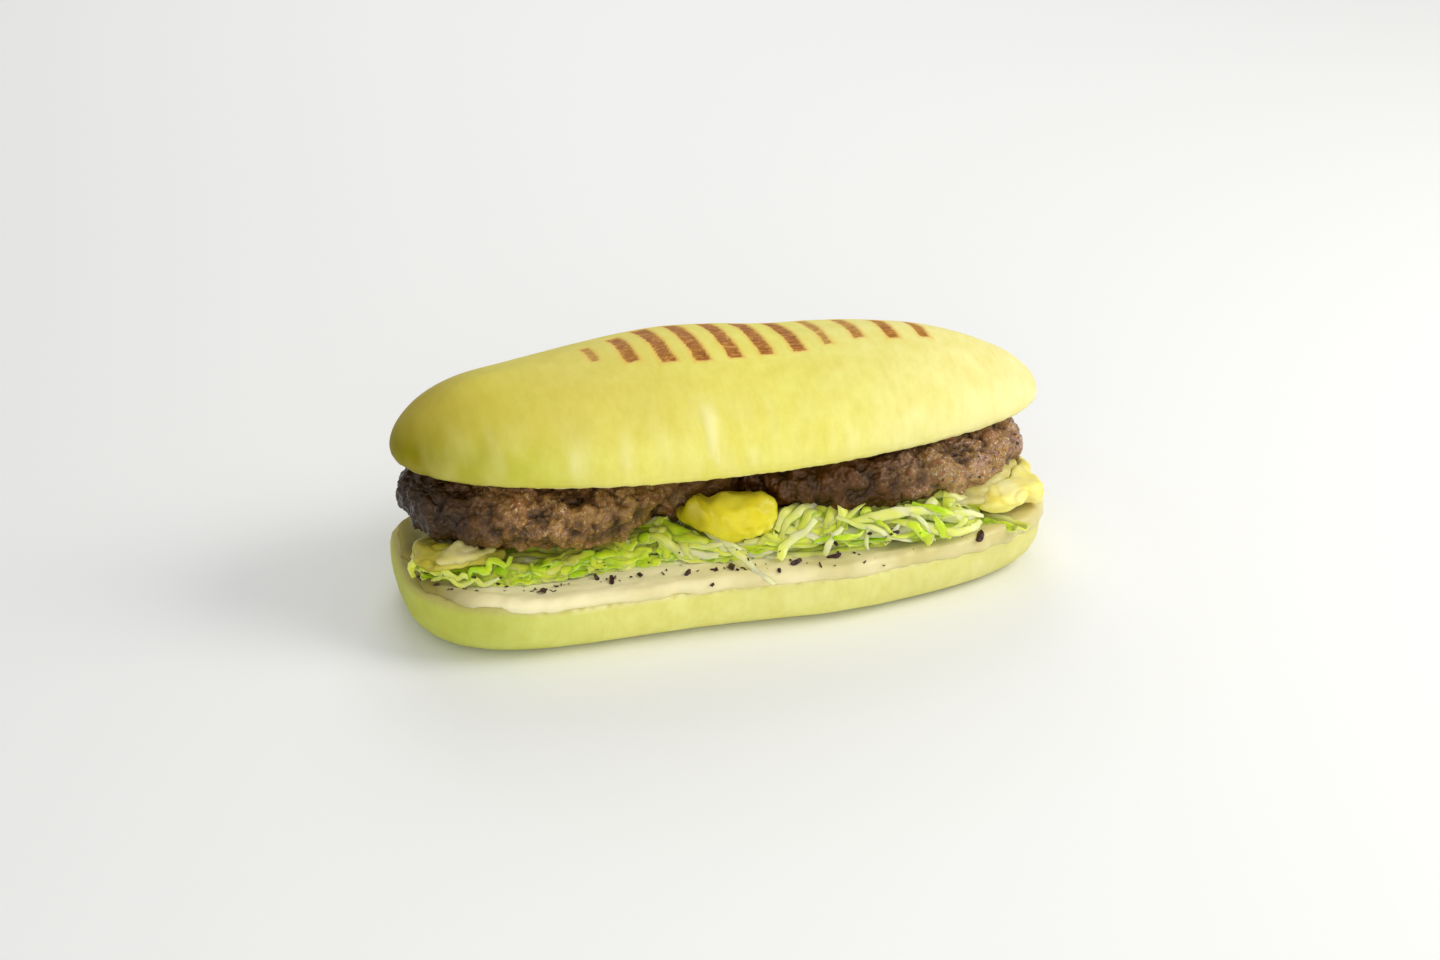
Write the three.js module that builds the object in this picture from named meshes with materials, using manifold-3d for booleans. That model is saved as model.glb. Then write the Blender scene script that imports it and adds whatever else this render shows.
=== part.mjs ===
// A grilled long roll, split and filled with sesame sauce, shredded lettuce, cheese and two kofta patties.
// Millimetres, +Z up. X runs along the roll, its front long side faces -Y, and it stands on Z = 0.
import * as THREE from "three";
import Module from "manifold-3d";
import { mergeVertices } from "three/addons/utils/BufferGeometryUtils.js";

const wasm = await Module();
wasm.setup();

// Driving dimensions of the two halves of the roll
const BASE = { length: 204, width: 85, thickness: 16.8 };
const CROWN = { length: 206, width: 77, thickness: 29 };

// Driving dimensions of the filling
const SAUCE_THICKNESS = 3.4;
const LETTUCE_THICKNESS = 7.5;
const KOFTA = { length: 91, width: 63, thickness: 23.5 };

// Pieces that touch keep this much air between them.
const CONTACT_GAP = 0.3;

// The crown lies a little askew: shifted to the right and the back, turned, and lower at its right end.
const CROWN_PLACE = { right: 2.5, back: 7, turn: -1.8, dip: 0.8 };
const CROWN_CUT_HEIGHT = 47.3;

// Heights that follow from the stack
const SAUCE_FLOOR = BASE.thickness + CONTACT_GAP;
const LETTUCE_FLOOR = SAUCE_FLOOR + SAUCE_THICKNESS + CONTACT_GAP;
const LETTUCE_TOP = LETTUCE_FLOOR + LETTUCE_THICKNESS;

// Squares a circle's cosine or sine off into a superellipse of the given power.
function squareOff(value, power) {
  return Math.sign(value) * Math.abs(value) ** (2 / power);
}

// Slow, smooth unevenness between -1 and 1, for shapes made by hand
function unevenness(x, y, wavelength, phase) {
  const k = (2 * Math.PI) / wavelength;
  return (
    0.5 * Math.sin(k * x + phase) * Math.cos(0.8 * k * y + 2 * phase) +
    0.3 * Math.sin(1.7 * k * x - 0.9 * k * y + 3 * phase) +
    0.2 * Math.cos(2.3 * k * y + 0.6 * k * x - phase)
  );
}

// Height of the crown's cut face above a place along the roll
function crownCutAt(x) {
  return CROWN_CUT_HEIGHT - Math.tan(THREE.MathUtils.degToRad(CROWN_PLACE.dip)) * (x - CROWN_PLACE.right);
}

// A closed solid swept from a line along X. Each step of the profile is [reach, height]: at reach 1 a ring
// follows the plan outline, and at reach 0 it closes up on the spine, a share of the length.
function loaf({ length, width, planPower, spine, profile, around, reshape = (p) => p }) {
  const points = [];
  profile.forEach(([reach, height]) => {
    for (let i = 0; i < around; i++) {
      const angle = (2 * Math.PI * i) / around;
      const x = (length / 2) * squareOff(Math.cos(angle), planPower);
      const y = (width / 2) * squareOff(Math.sin(angle), planPower);
      const along = x * (spine + (1 - spine) * reach);
      const across = i === 0 || 2 * i === around ? 0 : y * reach;
      points.push(...reshape(new THREE.Vector3(along, across, height)).toArray());
    }
  });
  const faces = [];
  for (let ring = 0; ring + 1 < profile.length; ring++) {
    for (let i = 0; i < around; i++) {
      const a = ring * around + i;
      const b = ring * around + ((i + 1) % around);
      faces.push(a, b, b + around, a, b + around, a + around);
    }
  }
  const geometry = new THREE.BufferGeometry();
  geometry.setAttribute("position", new THREE.Float32BufferAttribute(points, 3));
  geometry.setIndex(faces);
  return solid(mergeVertices(geometry, 1e-3));
}

// A manifold-3d solid from a closed three.js geometry, without the faces that merging made empty.
function solid(geometry) {
  const index = geometry.index.array;
  const kept = [];
  for (let i = 0; i < index.length; i += 3) {
    const [a, b, c] = index.slice(i, i + 3);
    if (a !== b && b !== c && c !== a) kept.push(a, b, c);
  }
  return new wasm.Manifold(
    new wasm.Mesh({
      numProp: 3,
      vertProperties: new Float32Array(geometry.attributes.position.array),
      triVerts: new Uint32Array(kept),
    }),
  );
}

// A named mesh from a manifold-3d solid.
function piece(name, shape, material) {
  const { vertProperties, triVerts } = shape.getMesh();
  const geometry = new THREE.BufferGeometry();
  geometry.setAttribute("position", new THREE.BufferAttribute(vertProperties, 3));
  geometry.setIndex(new THREE.BufferAttribute(triVerts, 1));
  const mesh = new THREE.Mesh(geometry, material);
  mesh.name = name;
  return mesh;
}

// Steps of a quarter superellipse from the rim, [1, 0], to the middle of the roof, [0, 1].
function domeSteps(count, power) {
  return Array.from({ length: count + 1 }, (_, i) => {
    const angle = (Math.PI / 2) * (i / count);
    return [squareOff(Math.cos(angle), power), squareOff(Math.sin(angle), power)];
  });
}

const crust = new THREE.MeshStandardMaterial({ color: 0xe6db7c, roughness: 0.6, metalness: 0 });
const sauce = new THREE.MeshStandardMaterial({ color: 0xe2d5a4, roughness: 0.35, metalness: 0 });
const lettuce = new THREE.MeshStandardMaterial({ color: 0xb7c763, roughness: 0.4, metalness: 0 });
const meat = new THREE.MeshStandardMaterial({ color: 0x5f482e, roughness: 0.45, metalness: 0 });
const cheese = new THREE.MeshStandardMaterial({ color: 0xd9c622, roughness: 0.35, metalness: 0 });

// The lower half of the roll: a flat foot, sides that turn under, and a flat cut face on top.
function baseRoll() {
  const FOOT = 0.72;
  const WAIST = 0.88 * BASE.thickness;
  const WAVE = { depth: 1.6, pitch: 110, crest: -79 };
  const sides = domeSteps(6, 2.4)
    .reverse()
    .map(([reach, rise]) => [FOOT + (1 - FOOT) * reach, WAIST * (1 - rise)]);
  return loaf({
    ...BASE,
    planPower: 3.5,
    spine: 0.53,
    profile: [[0, 0], ...sides, [0.99, 0.95 * BASE.thickness], [0.975, BASE.thickness], [0, BASE.thickness]],
    around: 60,
    reshape: (p) => {
      const front = Math.max(0, -p.y) / (BASE.width / 2);
      const outward = WAVE.depth * Math.cos((2 * Math.PI * (p.x - WAVE.crest)) / WAVE.pitch);
      return new THREE.Vector3(p.x, p.y - outward * front, p.z);
    },
  });
}

// The upper half: a flat cut face below and a long dome, higher in the middle and wider to the left.
function crownRoll() {
  const TUCK = 3.8;
  const END_HEIGHT = 0.67;
  const NARROWING = 0.12;
  const SWELL = { height: 0.9, pitch: 74, crest: -18 };
  const dome = domeSteps(11, 1.96).map(([reach, rise]) => [reach, TUCK + (CROWN.thickness - TUCK) * rise]);
  return loaf({
    ...CROWN,
    planPower: 2,
    spine: 0.68,
    profile: [[0, 0], [0.965, 0], [0.99, 0.4 * TUCK], ...dome],
    around: 64,
    reshape: (p) => {
      const u = p.x / (CROWN.length / 2);
      const swell = SWELL.height * Math.cos((2 * Math.PI * (p.x - SWELL.crest)) / SWELL.pitch);
      const rise = p.z / CROWN.thickness;
      const height = p.z * (1 - (1 - END_HEIGHT) * u * u) + swell * rise;
      return new THREE.Vector3(p.x, p.y * (1 - NARROWING * u), height);
    },
  });
}

// The sauce: a soft layer over the whole cut face, with a rounded lip that runs in and out.
function sauceLayer() {
  const SPREAD = { length: BASE.length - 1, width: BASE.width - 1 };
  const RUN = { depth: 1.2, pitch: 58, phase: 0.4 };
  const lip = domeSteps(4, 2.6).map(([reach, rise]) => [0.94 + 0.05 * reach, (0.3 + 0.7 * rise) * SAUCE_THICKNESS]);
  return loaf({
    ...SPREAD,
    planPower: 3.5,
    spine: 0.53,
    profile: [[0, 0], [0.955, 0], ...lip, [0, SAUCE_THICKNESS]],
    around: 60,
    reshape: (p) => {
      const edge = p.y / (SPREAD.width / 2);
      const outward = RUN.depth * unevenness(p.x, 0, RUN.pitch, RUN.phase);
      return new THREE.Vector3(p.x, p.y + edge * outward, p.z);
    },
  }).translate([0, 0, SAUCE_FLOOR]);
}

// The bed of shredded lettuce, out to its uneven outline.
function lettuceBed() {
  const BED = { length: 184, width: 64, right: -2, back: 1.5 };
  const FRAY = { depth: 2.5, pitch: 46, phase: 1 };
  const EDGE_THICKNESS = 1;
  const side = domeSteps(3, 2.2).map(([reach, rise]) => [
    0.75 + 0.25 * reach,
    EDGE_THICKNESS + (LETTUCE_THICKNESS - EDGE_THICKNESS) * rise,
  ]);
  return loaf({
    ...BED,
    planPower: 2.8,
    spine: 0.7,
    profile: [[0, 0], [0.97, 0], ...side, [0, LETTUCE_THICKNESS]],
    around: 52,
    reshape: (p) => {
      const edge = p.y / (BED.width / 2);
      const outward = FRAY.depth * unevenness(p.x, p.y, FRAY.pitch, FRAY.phase);
      return new THREE.Vector3(p.x, p.y + edge * outward, p.z);
    },
  }).translate([BED.right, BED.back, LETTUCE_FLOOR]);
}

// A profile that is the same above and below its middle, for pieces without a flat face
function roundedProfile(steps, power, thickness) {
  const upper = domeSteps(steps, power).map(([reach, rise]) => [reach, (thickness / 2) * rise]);
  const lower = upper.slice(1).map(([reach, height]) => [reach, -height]);
  return [...lower.reverse(), ...upper];
}

// Where each patty lies, how it is turned, in degrees, and its share of the common size
const PATTIES = {
  kofta_left: { x: -54.5, y: 1.5, turn: -14, phase: 0.6, share: [1, 1, 1] },
  kofta_right: { x: 50.5, y: -1, turn: 2, phase: 2.1, share: [1.07, 0.92, 0.96] },
};

// One patty under the crown's cut face, with room added all round where it presses into its neighbours.
function koftaPatty({ x, y, turn, phase, share }, grow) {
  const [length, width, thickness] = [KOFTA.length, KOFTA.width, KOFTA.thickness].map((d, i) => d * share[i]);
  const LUMPS = { height: 0.035, pitch: 38 };
  return loaf({
    length: length + 2 * grow,
    width: width + 2 * grow,
    planPower: 2.2,
    spine: 0.5,
    profile: roundedProfile(5, 2.5, thickness + 2 * grow),
    around: 40,
    reshape: (p) => {
      const lump = 1 + LUMPS.height * unevenness(p.x, p.y, LUMPS.pitch, phase);
      return new THREE.Vector3(p.x * lump, p.y * lump, p.z);
    },
  })
    .rotate([0, CROWN_PLACE.dip, turn])
    .translate([x, y, crownCutAt(x) - CONTACT_GAP - thickness / 2]);
}

// The lumps of melted cheese: each is one or more rounded lobes, with the middle and the size of each lobe.
const CHEESE = {
  cheese_left: [{ at: [-85.5, -12, 25.6], size: [29, 22, 6.5] }],
  cheese_middle: [
    { at: [-13.5, -19.5, 29.2], size: [19, 16, 11] },
    { at: [0.5, -21.5, 29.8], size: [23, 18, 14] },
  ],
  cheese_right: [
    { at: [84, -8, 26.4], size: [30, 50, 11] },
    { at: [92, -20, 25.6], size: [15, 20, 9] },
  ],
};

// One lump of melted cheese, with room added all round where it presses into its neighbours.
function cheeseLump(lobes, grow) {
  const BULGES = { height: 0.05, pitch: 24 };
  const made = lobes.map(({ at, size: [length, width, thickness] }) =>
    loaf({
      length: length + 2 * grow,
      width: width + 2 * grow,
      planPower: 2.4,
      spine: 0.4,
      profile: roundedProfile(4, 2.4, thickness + 2 * grow),
      around: 24,
      reshape: (p) => {
        const bulge = 1 + BULGES.height * unevenness(p.x, p.y, BULGES.pitch, at[0]);
        return new THREE.Vector3(p.x * bulge, p.y * bulge, p.z);
      },
    }).translate(at),
  );
  return made.reduce((lump, lobe) => lump.add(lobe));
}

// What is left of a piece once its neighbours have pressed into it
function pressedBy(shape, neighbours) {
  return neighbours.reduce((rest, neighbour) => rest.subtract(neighbour), shape);
}

function sandwich() {
  const pieces = new THREE.Group();
  const patties = Object.values(PATTIES).map((place) => koftaPatty(place, CONTACT_GAP));
  const lumps = Object.values(CHEESE).map((lobes) => cheeseLump(lobes, CONTACT_GAP));
  pieces.add(piece("base_roll", baseRoll(), crust));
  pieces.add(piece("sesame_sauce", sauceLayer(), sauce));
  pieces.add(piece("lettuce_bed", pressedBy(lettuceBed(), [...patties, ...lumps]), lettuce));
  Object.entries(CHEESE).forEach(([name, lobes]) => {
    pieces.add(piece(name, pressedBy(cheeseLump(lobes, 0), patties), cheese));
  });
  Object.entries(PATTIES).forEach(([name, place]) => pieces.add(piece(name, koftaPatty(place, 0), meat)));

  const crown = piece("crown_roll", crownRoll(), crust);
  crown.position.set(CROWN_PLACE.right, CROWN_PLACE.back, CROWN_CUT_HEIGHT);
  crown.rotation.set(0, THREE.MathUtils.degToRad(CROWN_PLACE.dip), THREE.MathUtils.degToRad(CROWN_PLACE.turn), "ZYX");
  pieces.add(crown);

  // The base stands on Z = 0 already: this centres the whole outline on X and Y.
  const middle = new THREE.Box3().setFromObject(pieces, true).getCenter(new THREE.Vector3());
  pieces.position.set(-middle.x, -middle.y, 0);
  return pieces;
}

export default sandwich();
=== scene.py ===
# %% [markdown]
# # A kofta cheese sandwich
#
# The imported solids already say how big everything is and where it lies. This lesson dresses them: bread
# that looks baked and pressed on a grill, minced meat with lumps and gloss, melted cheese, a smooth sauce,
# a heap of cut lettuce and a few dark flakes. Every new piece stays where the solid it stands for is.

import math
import random

import bmesh
import bpy
import numpy as np
from mathutils import Matrix, Vector, noise


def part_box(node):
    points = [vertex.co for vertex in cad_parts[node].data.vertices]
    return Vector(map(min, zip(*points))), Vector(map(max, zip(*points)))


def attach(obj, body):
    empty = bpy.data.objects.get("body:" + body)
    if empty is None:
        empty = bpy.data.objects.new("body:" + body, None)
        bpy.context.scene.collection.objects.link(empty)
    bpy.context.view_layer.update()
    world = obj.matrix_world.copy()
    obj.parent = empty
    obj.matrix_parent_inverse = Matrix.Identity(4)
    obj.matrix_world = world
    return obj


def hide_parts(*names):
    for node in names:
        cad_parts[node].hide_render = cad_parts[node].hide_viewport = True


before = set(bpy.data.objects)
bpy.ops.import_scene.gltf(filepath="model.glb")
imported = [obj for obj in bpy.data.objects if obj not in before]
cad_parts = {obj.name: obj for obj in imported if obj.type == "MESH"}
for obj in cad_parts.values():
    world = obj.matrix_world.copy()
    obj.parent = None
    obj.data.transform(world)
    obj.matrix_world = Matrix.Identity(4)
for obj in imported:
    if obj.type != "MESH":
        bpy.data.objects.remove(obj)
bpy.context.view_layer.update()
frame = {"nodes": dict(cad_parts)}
print("solids:", ", ".join(frame["nodes"]))

# %% [markdown]
# ## Where everything is
#
# The solids were drawn round the middle of the lower half of the roll, and then shifted so that the whole
# sandwich is centred. The lesson works in millimetres round the same middle, which the box of base_roll
# gives back, and turns to metres only when a piece is put in its place.

# %% Home of the millimetre drawing
MM = 0.001
BASE_LENGTH = 204
BASE_WIDTH = 85
BASE_THICKNESS = 16.8
base_low, base_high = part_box("base_roll")
HOME = np.array([(base_low[0] + base_high[0]) / 2, base_high[1] - BASE_WIDTH / 2 * MM, 0])
print("home in mm:", (HOME / MM).round(2))


def to_frame(points):
    """Millimetres round the roll's middle to metres in the frame."""
    return np.asarray(points) * MM + HOME


# %% [markdown]
# ## Camera, light and floor
#
# The photo looks down on the front of the sandwich at about 26 degrees, from a little to the left, with a
# long lens. The light is large and soft and comes from the right, so that the right end is nearly white
# and the left end falls into a deep olive shade. A pale floor throws some of it back from below.

# %% Camera
CAMERA_AZIMUTH = math.radians(-16.6)
CAMERA_ELEVATION = math.radians(26.5)
CAMERA_DISTANCE = 0.867
CAMERA_LENS = 70
LOOK_AT = (0.3, 0, 31.6)


def new_object(name, data):
    """An object in the scene, at the origin."""
    made = bpy.data.objects.new(name, data)
    bpy.context.scene.collection.objects.link(made)
    return made


def new_mesh(name, points, edges=(), faces=()):
    """A mesh from lists."""
    mesh = bpy.data.meshes.new(name)
    mesh.from_pydata(points, edges, faces)
    return mesh


look_at = Vector(to_frame(LOOK_AT))
away = Vector((
    math.sin(CAMERA_AZIMUTH) * math.cos(CAMERA_ELEVATION),
    -math.cos(CAMERA_AZIMUTH) * math.cos(CAMERA_ELEVATION),
    math.sin(CAMERA_ELEVATION),
))
camera_data = bpy.data.cameras.new("camera")
camera_data.lens = CAMERA_LENS
camera_data.sensor_width = 36
camera_data.clip_start = 0.01
camera = new_object("camera", camera_data)
camera.location = look_at + away * CAMERA_DISTANCE
camera.rotation_euler = away.to_track_quat("Z", "Y").to_euler()
bpy.context.scene.camera = camera
print("camera at", [round(c, 3) for c in camera.location])


# %% Colours and nodes
def rgb(code):
    """An sRGB hex colour, such as "e3d26e", as linear red, green, blue and alpha."""
    parts = [int(code[i:i + 2], 16) / 255 for i in (0, 2, 4)]
    linear = [p / 12.92 if p <= 0.04045 else ((p + 0.055) / 1.055) ** 2.4 for p in parts]
    return (*linear, 1)


def add(tree, kind, settings=None, links=None, stops=()):
    """Adds a node with its settings, its links and, for a colour ramp, its stops.

    Settings are properties or unlinked inputs. A link comes from an output, or from a node's first one.
    A colour mix has its factor at 0 and its colours at 6 and 7, and gives the result at 2.
    """
    made = tree.nodes.new(kind)
    for name, value in (settings or {}).items():
        if isinstance(name, str) and hasattr(made, name):
            setattr(made, name, value)
        else:
            made.inputs[name].default_value = value
    for name, source in (links or {}).items():
        output = source.outputs[0] if isinstance(source, bpy.types.Node) else source
        tree.links.new(output, made.inputs[name])
    for index, (position, colour) in enumerate(stops):
        ramp = made.color_ramp.elements
        stop = ramp[index] if index < 2 else ramp.new(position)
        stop.position = position
        stop.color = rgb(colour)
    return made


def new_material(name):
    """A material without nodes, and its tree."""
    material = bpy.data.materials.new(name)
    material.use_nodes = True
    material.node_tree.nodes.clear()
    return material, material.node_tree


# %% Light and floor
def area_light(name, at, size, power, colour):
    """A square light at a place in metres, turned to the sandwich."""
    data = bpy.data.lights.new(name, "AREA")
    data.size = size
    data.energy = power
    data.color = rgb(colour)[:3]
    light = new_object(name, data)
    light.location = at
    light.rotation_euler = (Vector(at) - look_at).to_track_quat("Z", "Y").to_euler()


area_light("key", (0.75, -0.25, 0.62), 0.5, 5.2, "fffdf8")
area_light("front", (-0.35, -0.95, 0.24), 0.7, 4.2, "ffffff")
area_light("back", (0.15, 0.9, 0.7), 0.6, 2.5, "ffffff")

ROOM_LIGHT = 0.55
world = bpy.data.worlds.new("soft_room")
world.use_nodes = True
world.node_tree.nodes["Background"].inputs["Color"].default_value = rgb("f7f6f4")
world.node_tree.nodes["Background"].inputs["Strength"].default_value = ROOM_LIGHT
bpy.context.scene.world = world
bpy.context.scene.view_settings.view_transform = "Standard"

floor_material, tree = new_material("pale_floor")
floor_shader = add(tree, "ShaderNodeBsdfPrincipled", {"Base Color": rgb("f3f4f4"), "Roughness": 0.6})
add(tree, "ShaderNodeOutputMaterial", links={"Surface": floor_shader})
FLOOR_HALF = 4.0
floor_corners = [(x * FLOOR_HALF, y * FLOOR_HALF, 0) for x, y in ((-1, -1), (1, -1), (1, 1), (-1, 1))]
floor_mesh = new_mesh("floor", floor_corners, faces=[(0, 1, 2, 3)])
floor_mesh.materials.append(floor_material)
floor = new_object("floor", floor_mesh)
print("room light", ROOM_LIGHT, "and a floor", 2 * FLOOR_HALF, "m wide")

# %% [markdown]
# ## A loaf by rule
#
# Both halves of the roll, the sauce and the patties have one kind of shape: a side profile carried round a
# rounded oblong outline, closed on a line along the middle. That is a rule, so Geometry Nodes make it. The
# tree bends a plain grid: across the grid a point walks along the outline, up the grid it walks along the
# profile. Both are sampled by length, so the faces come out even, which a subdivided box would not give.

# %% The tree that carries a profile round an outline
def sockets(tree, inputs):
    """Gives a tree its named inputs and one geometry output, and returns the group's input node."""
    for name, (kind, value) in inputs.items():
        made = tree.interface.new_socket(name, in_out="INPUT", socket_type=kind)
        if value is not None:
            made.default_value = value
    tree.interface.new_socket("Geometry", in_out="OUTPUT", socket_type="NodeSocketGeometry")
    return add(tree, "NodeGroupInput")


def end_tree(tree, given, geometry):
    """Ends a tree: all of its geometry made real, in the material it was given."""
    real = add(tree, "GeometryNodeRealizeInstances", links={0: geometry})
    finished = add(tree, "GeometryNodeSetMaterial",
                   links={"Geometry": real, "Material": given.outputs["Material"]})
    add(tree, "NodeGroupOutput", links={"Geometry": finished})
    print(tree.name, "tree:", len(tree.nodes), "nodes")


loaf_tree = bpy.data.node_groups.new("loaf", "GeometryNodeTree")
given = sockets(loaf_tree, {
    "Profile": ("NodeSocketGeometry", None),
    "Outline": ("NodeSocketObject", None),
    "Half Width": ("NodeSocketFloat", 40.0),
    "Spine": ("NodeSocketFloat", 0.5),
    "Around": ("NodeSocketInt", 400),
    "Steps": ("NodeSocketInt", 120),
    "Material": ("NodeSocketMaterial", None),
})
outline_object = add(loaf_tree, "GeometryNodeObjectInfo", links={"Object": given.outputs["Outline"]})
outline_curve = add(loaf_tree, "GeometryNodeMeshToCurve", links={"Mesh": outline_object.outputs["Geometry"]})
profile_curve = add(loaf_tree, "GeometryNodeMeshToCurve", links={"Mesh": given.outputs["Profile"]})
columns = add(loaf_tree, "ShaderNodeMath", {"operation": "ADD", 1: 1.0}, {0: given.outputs["Around"]})
grid = add(loaf_tree, "GeometryNodeMeshGrid", {"Size X": 1.0, "Size Y": 1.0},
           {"Vertices X": columns, "Vertices Y": given.outputs["Steps"]})
walk = add(loaf_tree, "ShaderNodeSeparateXYZ", links={0: grid.outputs["UV Map"]})
on_outline = add(loaf_tree, "GeometryNodeSampleCurve", {"mode": "FACTOR", "use_all_curves": True},
                 {"Curves": outline_curve, "Factor": walk.outputs["X"]})
on_profile = add(loaf_tree, "GeometryNodeSampleCurve", {"mode": "FACTOR", "use_all_curves": True},
                 {"Curves": profile_curve, "Factor": walk.outputs["Y"]})
outline_place = add(loaf_tree, "ShaderNodeSeparateXYZ", links={0: on_outline.outputs["Position"]})
profile_place = add(loaf_tree, "ShaderNodeSeparateXYZ", links={0: on_profile.outputs["Position"]})
reach = add(loaf_tree, "ShaderNodeMath", {"operation": "DIVIDE"},
            {0: profile_place.outputs["X"], 1: given.outputs["Half Width"]})
stretch = add(loaf_tree, "ShaderNodeMapRange", {"To Max": 1.0},
              {"Value": reach, "To Min": given.outputs["Spine"]})
along = add(loaf_tree, "ShaderNodeMath", {"operation": "MULTIPLY"},
            {0: outline_place.outputs["X"], 1: stretch})
across = add(loaf_tree, "ShaderNodeMath", {"operation": "MULTIPLY"},
             {0: outline_place.outputs["Y"], 1: reach})
place = add(loaf_tree, "ShaderNodeCombineXYZ",
            links={"X": along, "Y": across, "Z": profile_place.outputs["Z"]})
bent = add(loaf_tree, "GeometryNodeSetPosition",
           links={"Geometry": grid.outputs["Mesh"], "Position": place})
SEAM_GAP = 0.01
closed = add(loaf_tree, "GeometryNodeMergeByDistance", {"Distance": SEAM_GAP}, {"Geometry": bent})
smooth = add(loaf_tree, "GeometryNodeSetShadeSmooth", links={0: closed})
end_tree(loaf_tree, given, smooth)


# %% Running a tree and keeping its result
def wire(name, points, cyclic=False):
    """A mesh of one chain of edges."""
    count = len(points)
    edges = [(i, i + 1) for i in range(count - 1)] + ([(count - 1, 0)] if cyclic else [])
    return new_mesh(name, [tuple(p) for p in points], edges)


def drop(helper):
    """Removes a helper object that isn't part of the sandwich."""
    bpy.data.objects.remove(helper, do_unlink=True)


def run_tree(start, tree, values):
    """Runs a tree on a mesh, with its named inputs set, and returns the result as a plain mesh."""
    host = new_object(start.name, start)
    modifier = host.modifiers.new(tree.name, "NODES")
    modifier.node_group = tree
    for item in tree.interface.items_tree:
        if item.in_out == "INPUT" and item.name in values:
            modifier[item.identifier] = values[item.name]
    evaluated = host.evaluated_get(bpy.context.evaluated_depsgraph_get())
    mesh = bpy.data.meshes.new_from_object(evaluated)
    host.modifiers.remove(modifier)
    drop(host)
    return mesh


def read_points(mesh):
    """A mesh's vertices as an array."""
    flat = np.empty(len(mesh.vertices) * 3)
    mesh.vertices.foreach_get("co", flat)
    return flat.reshape(-1, 3)


def write_points(mesh, points):
    """Moves a mesh's vertices to the given places."""
    mesh.vertices.foreach_set("co", np.asarray(points, float).ravel())
    mesh.update()


def read_normals(mesh):
    """A mesh's smooth normals as an array."""
    flat = np.empty(len(mesh.vertices) * 3)
    mesh.vertex_normals.foreach_get("vector", flat)
    return flat.reshape(-1, 3)


def note(mesh, name, values):
    """Keeps one number for each vertex, for a material to read."""
    mesh.attributes.new(name, "FLOAT", "POINT").data.foreach_set("value", np.asarray(values, float))


def face_outwards(mesh):
    """Turns a closed mesh right side out."""
    mesh.calc_loop_triangles()
    corners = np.empty(len(mesh.loop_triangles) * 3, int)
    mesh.loop_triangles.foreach_get("vertices", corners)
    a, b, c = read_points(mesh)[corners.reshape(-1, 3)].transpose(1, 0, 2)
    if np.einsum("ij,ij->", a, np.cross(b, c)) < 0:
        mesh.flip_normals()


def superellipse(length, width, power, count=720):
    """Points round an outline that is squarer than an ellipse for a power over 2."""
    turn = np.linspace(0, 2 * np.pi, count, endpoint=False)
    x, y = np.cos(turn), np.sin(turn)
    size = (np.abs(x) ** power + np.abs(y) ** power) ** (1 / power)
    return np.stack([x / size * length / 2, y / size * width / 2, 0 * x], axis=1)


def quarter(power, count=40):
    """Steps of reach and rise on a quarter of a superellipse, from the rim to the middle of the roof."""
    turn = np.linspace(0, np.pi / 2, count)
    x, y = np.cos(turn), np.sin(turn)
    size = (x ** power + y ** power) ** (1 / power)
    return np.stack([x / size, y / size], axis=1)


def loaf(name, length, width, power, spine, profile, around, steps, material):
    """A loaf in millimetres: profile is a list of reaches, as shares of half the width, and heights."""
    chain = wire(name, [(share * width / 2, 0, height) for share, height in profile])
    outline = new_object("outline", wire("outline", superellipse(length, width, power), cyclic=True))
    mesh = run_tree(chain, loaf_tree, {
        "Outline": outline, "Half Width": width / 2, "Spine": spine, "Around": around, "Steps": steps,
        "Material": material,
    })
    mesh.name = name
    drop(outline)
    face_outwards(mesh)
    return mesh


def put(name, mesh, slot, *nodes):
    """Puts a finished mesh in its place, as a piece that rides on the sandwich's one body."""
    write_points(mesh, to_frame(read_points(mesh)))
    made = new_object(name, mesh)
    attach(made, "root")
    if nodes:
        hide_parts(*nodes)
    mesh.calc_loop_triangles()
    print(name, len(mesh.loop_triangles), "triangles")
    return made


def wobble(points, size, octaves=1, shift=0.0):
    """Smooth noise from about -1 to 1 at each point, with features about size millimetres across."""
    away_from = Vector((shift, shift * 0.7, -shift))
    return np.array([
        noise.fractal(Vector(p) / size + away_from, 1.0, 2.0, octaves) for p in points
    ])


def ease(values, start, end):
    """A smooth step from 0 at start to 1 at end."""
    t = np.clip((values - start) / (end - start), 0, 1)
    return t * t * (3 - 2 * t)


# %% [markdown]
# ## The lower half of the roll
#
# On the real roll the underside is flat and pale, the sides bulge a little over it, and the cut face on
# top is open crumb, with a rim that stands up a little at the left end. The skin is soft and pulls into
# shallow dents. It could be sculpted, but dents of a few tenths of a millimetre on a rule-made loaf need
# only noise, so the vertices are moved by noise along their normals. The cut edge gets a rougher noise,
# because a knife tears crumb.

# %% Shape of the lower half
BASE_POWER = 3.5
BASE_SPINE = 0.53
FOOT = 0.72
WAIST = 0.88 * BASE_THICKNESS
WAVE_DEPTH = 1.6
WAVE_PITCH = 110
WAVE_CREST = -79
RIM_RISE = 1.9


def front_wave(points):
    """How far the front edge of the lower half stands out at each point."""
    front = np.maximum(0, -points[:, 1]) / (BASE_WIDTH / 2)
    return WAVE_DEPTH * np.cos(2 * np.pi * (points[:, 0] - WAVE_CREST) / WAVE_PITCH) * front


def outline_share(points, length, width, power):
    """How far out each point is: 0 on the middle line and 1 on the outline."""
    along = np.abs(points[:, 0]) / (length / 2)
    across = np.abs(points[:, 1]) / (width / 2)
    return (along ** power + across ** power) ** (1 / power)


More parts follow.
